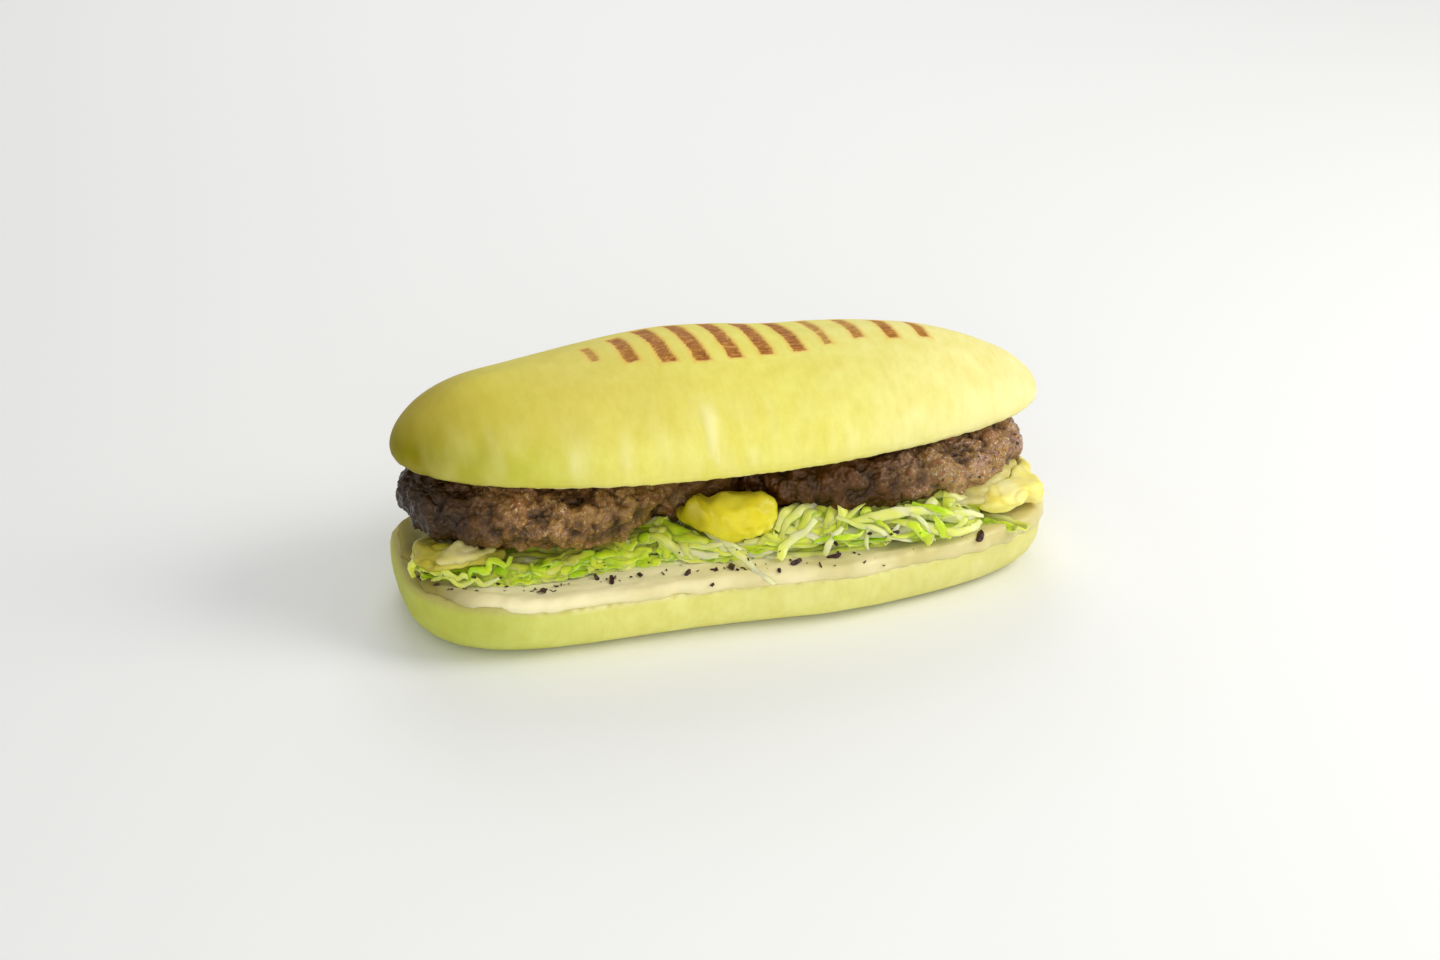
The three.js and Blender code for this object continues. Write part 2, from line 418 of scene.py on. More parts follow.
def lower_half(skin_material):
    """The lower half of the roll, with a note of where its cut face is."""
    sides = [(FOOT + (1 - FOOT) * r, WAIST * (1 - h)) for r, h in quarter(2.4)[::-1]]
    edge = [(0.99, 0.95 * BASE_THICKNESS), (0.975, BASE_THICKNESS)]
    mesh = loaf("base_bread", BASE_LENGTH, BASE_WIDTH, BASE_POWER, BASE_SPINE,
                [(0, 0), *sides, *edge, (0, BASE_THICKNESS)], 520, 150, skin_material)
    points = read_points(mesh)
    out = outline_share(points, BASE_LENGTH, BASE_WIDTH, BASE_POWER)
    points[:, 1] -= front_wave(points)
    write_points(mesh, points)
    normals = read_normals(mesh)
    height = points[:, 2] / BASE_THICKNESS
    cut = ease(normals[:, 2], 0.55, 0.9)
    side = ease(height, 0.02, 0.2) * (1 - cut)
    skin = 0.5 * wobble(points, 26, 2) + 0.2 * wobble(points, 8, 2, 3.1)
    crumb = 0.45 * wobble(points, 3.2, 3, 5.7)
    rim = ease(height, 0.86, 0.98)
    points += normals * (side * skin + cut * crumb + rim * (1 - cut) * 0.8 * crumb)[:, None]
    points[:, 2] += RIM_RISE * ease(-points[:, 0], 50, 92) * ease(height, 0.5, 1) * ease(out, 0.86, 0.95)
    points[:, 2] = np.maximum(points[:, 2], 0)
    write_points(mesh, points)
    note(mesh, "cut", np.maximum(cut, 0.8 * rim))
    # Painted light: the lower half grows paler towards the lit right end
    note(mesh, "pale", 0.5 * ease(points[:, 0], -60, 90) * (0.5 + 0.5 * wobble(points, 14, 2, 8.0)))
    note(mesh, "baked", np.zeros(len(points)))
    return mesh


# %% [markdown]
# ## Bread
#
# A soft white roll, baked pale and warmed on a press. Its skin is a thin dry film over soft crumb: satin,
# yellow with a green cast, never red. The eye reads it from slow changes of tone a few centimetres wide,
# faint mottling of a few millimetres, tiny pores and a soft sheen. The cut crumb is paler and rougher. The
# dark left end is painted shade, the paler right painted light, and pale upright patches on the crown's
# front are painted highlights.

# %% Bread material
# Over a pattern's size in millimetres, this gives a texture's scale
PER_MM = 1000.0
# The two ends of the roll in metres, between which tones change along it
ROLL_ENDS = {"From Min": -0.1, "From Max": 0.1}


def soft_bread(name, tones, marked):
    """Bread: tones are its skin at the left end, near it, in the middle and at the right end, then others.
    The tones along the roll are painted shade and light, darkest at the shaded left end.
    """
    material, tree = new_material(name)
    left, near_left, middle, right, tan, painted_light_tone, crumb = tones
    where = add(tree, "ShaderNodeTexCoord").outputs["Object"]
    apart = add(tree, "ShaderNodeSeparateXYZ", links={0: where})
    # Tones along the roll, with a drift of two centimetres either way so that no border runs straight:
    # painted shade at the dark left end and painted light further right
    drift = add(tree, "ShaderNodeTexNoise", {"Scale": PER_MM / 30, "Detail": 2.0}, {"Vector": where})
    end = add(tree, "ShaderNodeMath", {"operation": "MULTIPLY_ADD", 1: 0.04, 2: -0.02},
              {0: drift.outputs["Fac"]})
    shifted = add(tree, "ShaderNodeMath", {"operation": "ADD"}, {0: apart.outputs["X"], 1: end})
    along = add(tree, "ShaderNodeMapRange", ROLL_ENDS, {"Value": shifted})
    shade_and_light_along = add(tree, "ShaderNodeValToRGB", links={"Fac": along}, stops=(
        (0.02, left), (0.14, near_left), (0.3, middle), (0.6, middle), (1, right),
    ))
    # Mottling of a centimetre, then the tan part and the painted light that were noted on the shape
    mottle = add(tree, "ShaderNodeTexNoise", {"Scale": PER_MM / 9, "Detail": 4.0, "Roughness": 0.6},
                 {"Vector": where})
    mottle_part = add(tree, "ShaderNodeMapRange", {"From Min": 0.35, "From Max": 0.7, "To Max": 0.55},
                      {"Value": mottle.outputs["Fac"]})
    mottled = add(tree, "ShaderNodeMix", {"data_type": "RGBA", "blend_type": "MULTIPLY", 7: rgb("efe8b8")},
                  {0: mottle_part, 6: shade_and_light_along.outputs["Color"]})
    baked = add(tree, "ShaderNodeAttribute", {"attribute_name": "baked"})
    tanned = add(tree, "ShaderNodeMix", {"data_type": "RGBA", 7: rgb(tan)},
                 {0: baked.outputs["Fac"], 6: mottled.outputs[2]})
    # The pale note is painted light: highlights on the crown's front and paler bread towards the lit right
    # end
    pale = add(tree, "ShaderNodeAttribute", {"attribute_name": "pale"})
    skin = add(tree, "ShaderNodeMix", {"data_type": "RGBA", 7: rgb(painted_light_tone)},
               {0: pale.outputs["Fac"], 6: tanned.outputs[2]})
    # Faint upright streaks, where the skin pulled as the dough rose
    stretch = add(tree, "ShaderNodeMapping", {"Scale": (1.0, 0.4, 0.4)}, {"Vector": where})
    streaks = add(tree, "ShaderNodeTexNoise", {"Scale": PER_MM / 3, "Detail": 5.0, "Roughness": 0.65},
                  {"Vector": stretch})
    streak_part = add(tree, "ShaderNodeMapRange", {"From Min": 0.4, "From Max": 0.66, "To Max": 0.3},
                      {"Value": streaks.outputs["Fac"]})
    streaked = add(tree, "ShaderNodeMix", {"data_type": "RGBA", "blend_type": "MULTIPLY", 7: rgb("ece8b4")},
                   {0: streak_part, 6: skin.outputs[2]})
    # Open crumb, darker at its left end: painted shade, since that end lies in shade
    holes = add(tree, "ShaderNodeTexVoronoi", {"Scale": PER_MM / 2.6, "feature": "SMOOTH_F1"},
                {"Vector": where})
    hole_part = add(tree, "ShaderNodeMapRange", {"From Min": 0.15, "From Max": 0.5},
                    {"Value": holes.outputs["Distance"]})
    crumb_tone = add(tree, "ShaderNodeMix", {"data_type": "RGBA", 6: rgb("d2c47c"), 7: rgb(crumb)},
                     {0: hole_part})
    painted_shade_left = add(tree, "ShaderNodeMapRange",
                 {"From Min": -0.085, "From Max": -0.055, "To Min": 1.0, "To Max": 0.0},
                 {"Value": apart.outputs["X"]})
    crumb_shade = add(tree, "ShaderNodeMix", {"data_type": "RGBA", 7: rgb("b3aa62")},
                      {0: painted_shade_left, 6: crumb_tone.outputs[2]})
    cut = add(tree, "ShaderNodeAttribute", {"attribute_name": "cut"})
    bread = add(tree, "ShaderNodeMix", {"data_type": "RGBA"},
                {0: cut.outputs["Fac"], 6: streaked.outputs[2], 7: crumb_shade.outputs[2]})
    colour = bread.outputs[2]
    if marked:
        colour = grill_tone(tree, where, colour)
    fine = add(tree, "ShaderNodeTexNoise", {"Scale": PER_MM / 1.1, "Detail": 5.0, "Roughness": 0.65},
               {"Vector": where})
    creases = add(tree, "ShaderNodeTexNoise", {"Scale": PER_MM / 6, "Detail": 3.0, "Distortion": 0.8},
                  {"Vector": where})
    relief = add(tree, "ShaderNodeMath", {"operation": "MULTIPLY_ADD", 1: 0.4},
                 {0: fine.outputs["Fac"], 2: creases.outputs["Fac"]})
    bump = add(tree, "ShaderNodeBump", {"Strength": 0.22, "Distance": 0.0006}, {"Height": relief})
    rough = add(tree, "ShaderNodeMapRange", {"To Min": 0.42, "To Max": 0.62},
                {"Value": creases.outputs["Fac"]})
    shader = add(tree, "ShaderNodeBsdfPrincipled", {
        "IOR": 1.45, "Specular IOR Level": 0.12,
        "Subsurface Weight": 0.12, "Subsurface Radius": (0.004, 0.0025, 0.001), "Subsurface Scale": 1.0,
    }, {"Base Color": colour, "Roughness": rough, "Normal": bump})
    add(tree, "ShaderNodeOutputMaterial", links={"Surface": shader})
    return material


def grill_tone(tree, where, bread):
    """Browns the bread where the bars of the press lay, ragged and darker in streaks."""
    mark = add(tree, "ShaderNodeAttribute", {"attribute_name": "mark"})
    halo = add(tree, "ShaderNodeAttribute", {"attribute_name": "halo"})
    warmed = add(tree, "ShaderNodeMix", {"data_type": "RGBA", 7: rgb("e8b552")},
                 {0: halo.outputs["Fac"], 6: bread})
    grain = add(tree, "ShaderNodeMapping", {"Rotation": (0, 0, 0.6), "Scale": (0.3, 1.0, 0.6)},
                {"Vector": where})
    streaks = add(tree, "ShaderNodeTexNoise", {"Scale": PER_MM / 0.9, "Detail": 4.0, "Roughness": 0.65},
                  {"Vector": grain})
    browns = add(tree, "ShaderNodeValToRGB", links={"Fac": streaks.outputs["Fac"]},
                 stops=((0.3, "7a4410"), (0.5, "a4661f"), (0.74, "d39a4a")))
    marked = add(tree, "ShaderNodeMix", {"data_type": "RGBA"},
                 {0: mark.outputs["Fac"], 6: warmed.outputs[2], 7: browns.outputs["Color"]})
    return marked.outputs[2]


# The first four tones, along the roll, are painted shade and light; the sixth is the painted light of the
# pale note
lower_skin = soft_bread(
    "soft_bread_lower", ("bcc25a", "d6d977", "e6e48a", "dad681", "d6d06c", "ece9ae", "eee6ae"), False
)
base_bread = put("base_bread", lower_half(lower_skin), "crust", "base_roll")

# %% [markdown]
# ## The crown and its grill marks
#
# The upper half is a long dome, fuller to the left and lower at its ends, set down a little askew. The
# bars of the press touched only the top, so the brown marks stop where the dome falls away, each with its
# own ragged end. A mark is a shallow groove as well as a colour, so both come from one number, kept for
# each vertex: how deep in a mark the point lies.

# %% Shape of the crown
CROWN_LENGTH = 206
CROWN_WIDTH = 77
CROWN_THICKNESS = 29
TUCK = 3.8
END_HEIGHT = 0.67
NARROWING = 0.12
SWELL_HEIGHT = 0.9
SWELL_PITCH = 74
SWELL_CREST = -18
CROWN_RIGHT = 2.5
CROWN_BACK = 7
CROWN_TURN = math.radians(-1.8)
CROWN_DIP = math.radians(0.8)
CROWN_CUT_HEIGHT = 47.3

MARK_SLANT = -0.09
MARK_DEPTH = 0.35
# For each bar from the left: place along the roll, front end, back end, width and how brown it is
GRILL_MARKS = [
    (-37.0, 4.6, 15.5, 2.4, 0.7),
    (-26.9, -0.4, 19.5, 3.9, 0.95),
    (-16.9, -4.0, 24.5, 4.4, 1.0),
    (-6.9, -5.4, 26.0, 4.4, 1.0),
    (3.9, -4.9, 27.0, 4.4, 1.0),
    (14.2, -3.6, 26.0, 4.3, 1.0),
    (24.6, -3.1, 25.0, 4.0, 1.0),
    (34.7, -0.9, 22.0, 2.6, 0.75),
    (45.2, 0.8, 20.0, 3.0, 0.85),
    (55.8, -1.1, 18.0, 3.4, 0.95),
    (66.3, -0.1, 15.0, 3.2, 0.9),
]
# Places of the soft upright folds on the front of the crown, how wide they are and how high they reach; each
# swells a little and carries a painted highlight
SOFT_FOLDS = [(-49.5, 4.0, 62), (-36, 3.4, 64), (-9.5, 3.0, 71), (1, 3.5, 57)]
FOLD_RISE = 0.3


def crown_place(points):
    """Sets the crown down on the filling as the solid is: turned, dipped and shifted."""
    turn = Matrix.Rotation(CROWN_TURN, 3, "Z") @ Matrix.Rotation(CROWN_DIP, 3, "Y")
    return points @ np.array(turn).T + [CROWN_RIGHT, CROWN_BACK, CROWN_CUT_HEIGHT]


def grill_notes(points, normals):
    """How far into a mark and how near one each point is, from 0 to 1."""
    x, y, z = points.T
    ragged = 0.3 * wobble(points, 1.3, 2, 9.0) + 0.35 * wobble(points, 4.5, 1, 2.0)
    bend = 0.4 * wobble(points, 14, 1, 4.0)
    gaps = ease(wobble(points, 1.3, 2, 5.0), 0.4, 0.65)
    mark = np.zeros(len(points))
    halo = np.zeros(len(points))
    for place, front_end, back_end, width, strength in GRILL_MARKS:
        off = np.abs(x - place - MARK_SLANT * y - bend) - width / 2
        past_end = np.maximum(front_end - y, y - back_end)
        outside = np.maximum(off, past_end) + ragged
        mark = np.maximum(mark, strength * ease(-outside, -0.3, 0.3))
        halo = np.maximum(halo, 0.75 * strength * ease(-outside, -1.8, 0.2))
    up = ease(normals[:, 2], 0.2, 0.5)
    return mark * up * (1 - 0.5 * gaps), halo * up


def fold_notes(points, normals):
    """How much painted light each point gets, as highlights on the folds, the front and the lower right, and
    how far it swells out.
    """
    x, y, z = points.T
    front = ease(-normals[:, 1], 0.35, 0.75)
    weave = wobble(points * [1, 0.25, 0.4], 6, 2, 3.3)
    folds = sum(
        ease(-np.abs(x - place + 2.2 * weave), -width, -0.25 * width) * ease(-z, -top - 2, -top + 5)
        for place, width, top in SOFT_FOLDS
    )
    folds = np.clip(folds * (0.7 + 0.5 * weave), 0, 1) * front * ease(z, 49, 57)
    folds *= 0.45 + 0.55 * ease(x, -38, -12)
    # Painted light: the lower right of the front and, more faintly, the whole front face are made paler as if
    # lit
    painted_light_low_right = ease(x, 8, 55) * ease(-z, -62, -54) * front
    pale = np.clip(0.6 * folds + 0.35 * painted_light_low_right + 0.25 * front * (0.3 + weave), 0, 1)
    return pale, folds + 0.4 * weave * front


def upper_half(skin_material):
    """The crown, with notes of its cut face, marks and their halo, its painted highlights and its baked skin.
    """
    dome = [(r, TUCK + (CROWN_THICKNESS - TUCK) * h) for r, h in quarter(1.96)]
    mesh = loaf("crown_bread", CROWN_LENGTH, CROWN_WIDTH, 2, 0.68,
                [(0, 0), (0.965, 0), (0.99, 0.4 * TUCK), *dome], 560, 170, skin_material)
    points = read_points(mesh)
    along_share = points[:, 0] / (CROWN_LENGTH / 2)
    rise = points[:, 2] / CROWN_THICKNESS
    swell = SWELL_HEIGHT * np.cos(2 * np.pi * (points[:, 0] - SWELL_CREST) / SWELL_PITCH)
    points[:, 1] *= 1 - NARROWING * along_share
    points[:, 2] = points[:, 2] * (1 - (1 - END_HEIGHT) * along_share ** 2) + swell * rise
    write_points(mesh, crown_place(points))
    points = read_points(mesh)
    normals = read_normals(mesh)
    cut = ease(-normals[:, 2], 0.6, 0.95)
    mark, halo = grill_notes(points, normals)
    pale, swollen = fold_notes(points, normals)
    skin = 0.45 * wobble(points, 30, 2, 1.3) + 0.12 * wobble(points, 9, 2, 2.2) + FOLD_RISE * swollen
    crumb = 0.35 * wobble(points, 3.0, 3, 6.1)
    rim = ease(-rise, -0.13, -0.02)
    torn = (cut + 0.5 * rim * (1 - cut)) * crumb
    points += normals * ((1 - cut) * skin + torn - MARK_DEPTH * mark)[:, None]
    write_points(mesh, points)
    note(mesh, "cut", cut)
    note(mesh, "mark", mark)
    note(mesh, "halo", halo)
    # The pale note is painted light, mostly highlights on the front
    note(mesh, "pale", pale)
    note(mesh, "baked", 0.5 * ease(normals[:, 2], 0.35, 0.95) * ease(-points[:, 0], -40, 70))
    return mesh


# The first four tones, along the roll, are painted shade and light; the sixth is the painted light of the
# pale note
upper_skin = soft_bread(
    "soft_bread_upper", ("8b8208", "cccb50", "eae478", "f2eaac", "dcc658", "f3edaa", "efe2ac"), True
)
crown_bread = put("crown_bread", upper_half(upper_skin), "crust", "crown_roll")

# %% [markdown]
# ## The sesame sauce
#
# Tahini thinned with lemon spreads as a smooth, heavy layer: it keeps long soft waves where the knife or
# spoon left it, bulges at the cut edge and creeps over it, most of all at the right. It is the same loaf
# rule with a drop-shaped lip, and the creeping is a slow noise that lowers the underside of the lip.

# %% Shape of the sauce
SAUCE_THICKNESS = 3.4
SAUCE_FLOOR = BASE_THICKNESS
# Reach and height of the lip, as a share of half the width and in millimetres
SAUCE_LIP = [
    (0.953, 0), (0.979, -0.1), (0.995, -0.2), (1.006, 0.2), (1.011, 1.0),
    (1.005, 2.1), (0.989, 2.9), (0.966, 3.35), (0.92, 3.5), (0.87, 3.3),
]
CREEP_DROP = 2.0
LEFT_INSET = 1.5


def sauce_layer(sauce_material):
    """The layer of sauce over the cut face."""
    mesh = loaf("sesame_layer", BASE_LENGTH, BASE_WIDTH, BASE_POWER, BASE_SPINE,
                [(0, 0), *SAUCE_LIP, (0, 3.2)], 560, 130, sauce_material)
    points = read_points(mesh)
    out = outline_share(points, BASE_LENGTH, BASE_WIDTH, BASE_POWER)
    points[:, 1] -= front_wave(points)
    x = points[:, 0]
    edge = ease(out, 0.88, 0.97)
    bulges = wobble(points * [1, 1, 0], 7, 2, 3.1)
    unevenness = wobble(points * [1, 1, 0], 17, 2, 7.7) + 0.7 * bulges
    creep = np.clip(0.15 + 0.55 * ease(x, 0, 45) + 0.45 * unevenness, 0, 1)
    strokes = 0.35 * wobble(points * [0.3, 1, 0], 4.5, 2, 2.9) + 0.3 * wobble(points * [1, 1, 0], 15, 2, 1.9)
    top = ease(points[:, 2], 1.5, 3.2)
    drip = ease(-points[:, 2], -3.0, 0.2)
    inset = LEFT_INSET * ease(-x, 50, 90) * edge
    points[:, :2] *= (1 - inset / 45 + edge * 0.018 * unevenness)[:, None]
    points[:, 2] += top * (strokes * (1 - 0.5 * edge) + 0.45 * edge * bulges)
    points[:, 2] += SAUCE_FLOOR + 0.6 * inset / LEFT_INSET - edge * creep * CREEP_DROP * drip
    write_points(mesh, points)
    return mesh


# %% [markdown]
# ## Sauce finish
#
# Ground sesame and oil: opaque cream, a soft gloss from the oil, and light that goes a millimetre or two in,
# so that the lip glows a little. Small grains show as faint specks.

# %% Sauce material
def tahini_material():
    """Cream-coloured sesame sauce."""
    material, tree = new_material("tahini")
    where = add(tree, "ShaderNodeTexCoord").outputs["Object"]
    # Its cream drifts over a centimetre or two, and is painted paler towards the left and darker towards the
    # right, as light and shade
    drift = add(tree, "ShaderNodeTexNoise", {"Scale": PER_MM / 16, "Detail": 3.0}, {"Vector": where})
    apart = add(tree, "ShaderNodeSeparateXYZ", links={0: where})
    sauce_light_and_shade = add(tree, "ShaderNodeMath", {"operation": "MULTIPLY_ADD", 1: -2.4},
                   {0: apart.outputs["X"], 2: drift.outputs["Fac"]})
    cream = add(tree, "ShaderNodeValToRGB", links={"Fac": sauce_light_and_shade},
                stops=((0.25, "d4c888"), (0.7, "f4eaba")))
    # At the very left end the cream is darkened to olive as painted shade, and made rougher, which leaves it
    # dull
    at_left_end = add(tree, "ShaderNodeMapRange",
               {"From Min": -0.096, "From Max": -0.08, "To Min": 0.95, "To Max": 0.0},
               {"Value": apart.outputs["X"]})
    painted_shade_left = add(tree, "ShaderNodeMix", {"data_type": "RGBA", 7: rgb("887c30")},
                 {0: at_left_end, 6: cream.outputs["Color"]})
    matt = add(tree, "ShaderNodeMapRange", {"To Min": 0.32, "To Max": 0.85}, {"Value": at_left_end})
    specks = add(tree, "ShaderNodeTexVoronoi", {"Scale": PER_MM / 1.8}, {"Vector": where})
    speck_part = add(tree, "ShaderNodeMapRange", {"From Max": 0.12, "To Min": 0.35, "To Max": 0.0},
                     {"Value": specks.outputs["Distance"]})
    tone = add(tree, "ShaderNodeMix", {"data_type": "RGBA", 7: rgb("c7b27a")},
               {0: speck_part, 6: painted_shade_left.outputs[2]})
    ripple = add(tree, "ShaderNodeTexNoise", {"Scale": PER_MM / 3, "Detail": 3.0}, {"Vector": where})
    bump = add(tree, "ShaderNodeBump", {"Strength": 0.25, "Distance": 0.0008},
               {"Height": ripple.outputs["Fac"]})
    shader = add(tree, "ShaderNodeBsdfPrincipled", {
        "IOR": 1.46, "Specular IOR Level": 0.35, "Subsurface Weight": 0.25,
        "Subsurface Radius": (0.003, 0.0022, 0.0012), "Subsurface Scale": 1.0,
    }, {"Base Color": tone.outputs[2], "Roughness": matt, "Normal": bump})
    add(tree, "ShaderNodeOutputMaterial", links={"Surface": shader})
    return material


tahini = tahini_material()
sesame_layer = put("sesame_layer", sauce_layer(tahini), "sauce", "sesame_sauce")

# %% [markdown]
# ## The patties
#
# Kofta is coarsely minced meat pressed by hand. Its side is a wall of lumps three to nine millimetres
# across, packed with dark creases between them, with finer grains on each lump and a film of fat that
# glitters. That is relief on a rounded loaf: slow noise for the folds, cells for the lumps and clumps,
# noise near its middle value for the creases, and fine noise for the grain. Geometry Nodes move a fine
# mesh by them, and keep the height and the lump's own random number for the material.

# %% The tree that makes minced meat
mince_tree = bpy.data.node_groups.new("mince", "GeometryNodeTree")
given = sockets(mince_tree, {
    "Geometry": ("NodeSocketGeometry", None),
    "Fold Size": ("NodeSocketFloat", 8.5),
    "Fold Height": ("NodeSocketFloat", 1.5),
    "Lump Size": ("NodeSocketFloat", 5.5),
    "Lump Height": ("NodeSocketFloat", 1.3),
    "Clump Size": ("NodeSocketFloat", 2.6),
    "Clump Height": ("NodeSocketFloat", 0.45),
    "Grain Size": ("NodeSocketFloat", 1.5),
    "Grain Height": ("NodeSocketFloat", 0.5),
    "Crease Depth": ("NodeSocketFloat", 0.6),
    "Seed": ("NodeSocketFloat", 0.0),
    "Material": ("NodeSocketMaterial", None),
})
at = add(mince_tree, "GeometryNodeInputPosition")
seed_shift = add(mince_tree, "ShaderNodeCombineXYZ",
                 links={"X": given.outputs["Seed"], "Y": given.outputs["Seed"], "Z": given.outputs["Seed"]})
seeded = add(mince_tree, "ShaderNodeVectorMath", {"operation": "ADD"}, {0: at, 1: seed_shift})
MID_NOISE = (0.5, 0.5, 0.5)


def warped(vector, size, reach):
    """Pushes a pattern's coordinates about by noise, so that its cells come out irregular."""
    push = add(mince_tree, "ShaderNodeTexNoise", {"Scale": 1 / size, "Detail": 1.0}, {"Vector": vector})
    centred = add(mince_tree, "ShaderNodeVectorMath", {"operation": "SUBTRACT", 1: MID_NOISE},
                  {0: push.outputs["Color"]})
    return add(mince_tree, "ShaderNodeVectorMath", {"operation": "MULTIPLY_ADD", 1: (reach, reach, reach)},
               {0: centred, 2: vector})


def scaled(size):
    """One over a named size, as a texture's scale."""
    return add(mince_tree, "ShaderNodeMath", {"operation": "DIVIDE", 0: 1.0}, {1: given.outputs[size]})


def raised(total, height, value, low, high):
    """Adds a pattern to the relief: low and high are the values that count as a full dip and a full rise."""
    centred = add(mince_tree, "ShaderNodeMapRange", {
        "interpolation_type": "SMOOTHSTEP", "From Min": low, "From Max": high, "To Min": -0.5, "To Max": 0.5,
    }, {"Value": value})
    below = {2: total} if total else {}
    return add(mince_tree, "ShaderNodeMath", {"operation": "MULTIPLY_ADD", 2: 0.0},
               {0: centred, 1: given.outputs[height], **below})


bent_space = warped(warped(seeded, 9.0, 3.5), 2.6, 0.7)
# Cells half as tall again as they are wide
upright = add(mince_tree, "ShaderNodeVectorMath", {"operation": "MULTIPLY", 1: (1.0, 1.0, 0.65)},
              {0: bent_space})
folds = add(mince_tree, "ShaderNodeTexNoise", {"Detail": 1.0},
            {"Vector": upright, "Scale": scaled("Fold Size")})
lumps = add(mince_tree, "ShaderNodeTexVoronoi", {"feature": "SMOOTH_F1", "Smoothness": 0.25},
            {"Vector": upright, "Scale": scaled("Lump Size")})
cell = add(mince_tree, "ShaderNodeTexVoronoi", {"feature": "F1"},
           {"Vector": upright, "Scale": scaled("Lump Size")})
clumps = add(mince_tree, "ShaderNodeTexVoronoi", {"feature": "SMOOTH_F1", "Smoothness": 0.2},
             {"Vector": bent_space, "Scale": scaled("Clump Size")})
grains = add(mince_tree, "ShaderNodeTexNoise", {"Detail": 3.0, "Roughness": 0.65},
             {"Vector": seeded, "Scale": scaled("Grain Size")})
ridges = add(mince_tree, "ShaderNodeTexNoise", {"Scale": 1 / 5.5, "Detail": 2.0, "Roughness": 0.45},
             {"Vector": bent_space})
from_ridge = add(mince_tree, "ShaderNodeMath", {"operation": "SUBTRACT", 1: 0.5}, {0: ridges.outputs["Fac"]})
ridge_near = add(mince_tree, "ShaderNodeMath", {"operation": "ABSOLUTE"}, {0: from_ridge})
lumpy = raised(None, "Lump Height", lumps.outputs["Distance"], 0.72, 0.25)
clumpy = raised(lumpy, "Clump Height", clumps.outputs["Distance"], 0.7, 0.2)
grainy = raised(clumpy, "Grain Height", grains.outputs["Fac"], 0.25, 0.75)
creased = raised(grainy, "Crease Depth", ridge_near, 0.0, 0.05)
folded = raised(creased, "Fold Height", folds.outputs["Fac"], 0.3, 0.7)
facing = add(mince_tree, "GeometryNodeInputNormal")
offset = add(mince_tree, "ShaderNodeVectorMath", {"operation": "SCALE"}, {0: facing, "Scale": folded})
kept_height = add(mince_tree, "GeometryNodeStoreNamedAttribute", {"data_type": "FLOAT", "Name": "height"},
                  {"Geometry": given.outputs["Geometry"], "Value": folded})
kept_cell = add(mince_tree, "GeometryNodeStoreNamedAttribute", {"data_type": "FLOAT", "Name": "lump"},
                {"Geometry": kept_height, "Value": cell.outputs["Color"]})
moved = add(mince_tree, "GeometryNodeSetPosition", links={"Geometry": kept_cell, "Offset": offset})
end_tree(mince_tree, given, moved)

# %% Shape of the patties
KOFTA_LENGTH = 91
KOFTA_WIDTH = 63
KOFTA_THICKNESS = 23.5
PATTIES = {
    "kofta_left": {
        "x": -54.5, "y": 1.5, "turn": -14, "share": (1, 1, 1), "seed": 3.0, "reach": 14, "undercut": 9,
    },
    "kofta_right": {
        "x": 50.5, "y": -1, "turn": 2, "share": (1.07, 0.92, 0.96), "seed": 41.0, "reach": -14, "undercut": 0,
    },
}
RELIEF_ROOM = 1.0
CROWN_GAP = 0.3


def crown_cut_at(x):
    """Height of the crown's cut face above a place along the roll."""
    return CROWN_CUT_HEIGHT - math.tan(CROWN_DIP) * (x - CROWN_RIGHT)


def patty(name, material, x, y, turn, share, seed, reach, undercut):
    """One patty: a rounded loaf a little smaller than its solid, with the relief standing out of it.

    Reach draws the inner tip out along the roll, so that the two patties meet behind the cheese.
    Undercut draws the underside of that tip back in front.
    """
    length, width, thickness = (
        size * part - 2 * RELIEF_ROOM
        for size, part in zip((KOFTA_LENGTH, KOFTA_WIDTH, KOFTA_THICKNESS), share)
    )
    upper = [(r, h * thickness / 2) for r, h in quarter(2.5)]
    lower = [(r, -h) for r, h in upper[:0:-1]]
    mesh = loaf(name, length, width, 2.2, 0.5, [*lower, *upper], 600, 160, material)
    points = read_points(mesh)
    inner = np.sign(reach) * points[:, 0] / length
    low = ease(-points[:, 2] / thickness, -0.4, 0.1)
    front = ease(-points[:, 1], -2, 8)
    points[:, 0] += reach * ease(inner, 0.15, 0.5) * (1 - front)
    points[:, 0] -= np.sign(reach) * undercut * ease(inner, 0.1, 0.45) * low * front
    write_points(mesh, points)
    middle_height = crown_cut_at(x) - CROWN_GAP - KOFTA_THICKNESS * share[2] / 2
    place = (
        Matrix.Translation((x, y, middle_height))
        @ Matrix.Rotation(math.radians(turn), 4, "Z")
        @ Matrix.Rotation(CROWN_DIP, 4, "Y")
    )
    mesh.transform(place)
    minced = run_tree(mesh, mince_tree, {"Seed": seed, "Material": material})
    points = read_points(minced)
    points[:, 2] = np.minimum(points[:, 2], crown_cut_at(x) - 0.1)
    write_points(minced, points)
    return minced
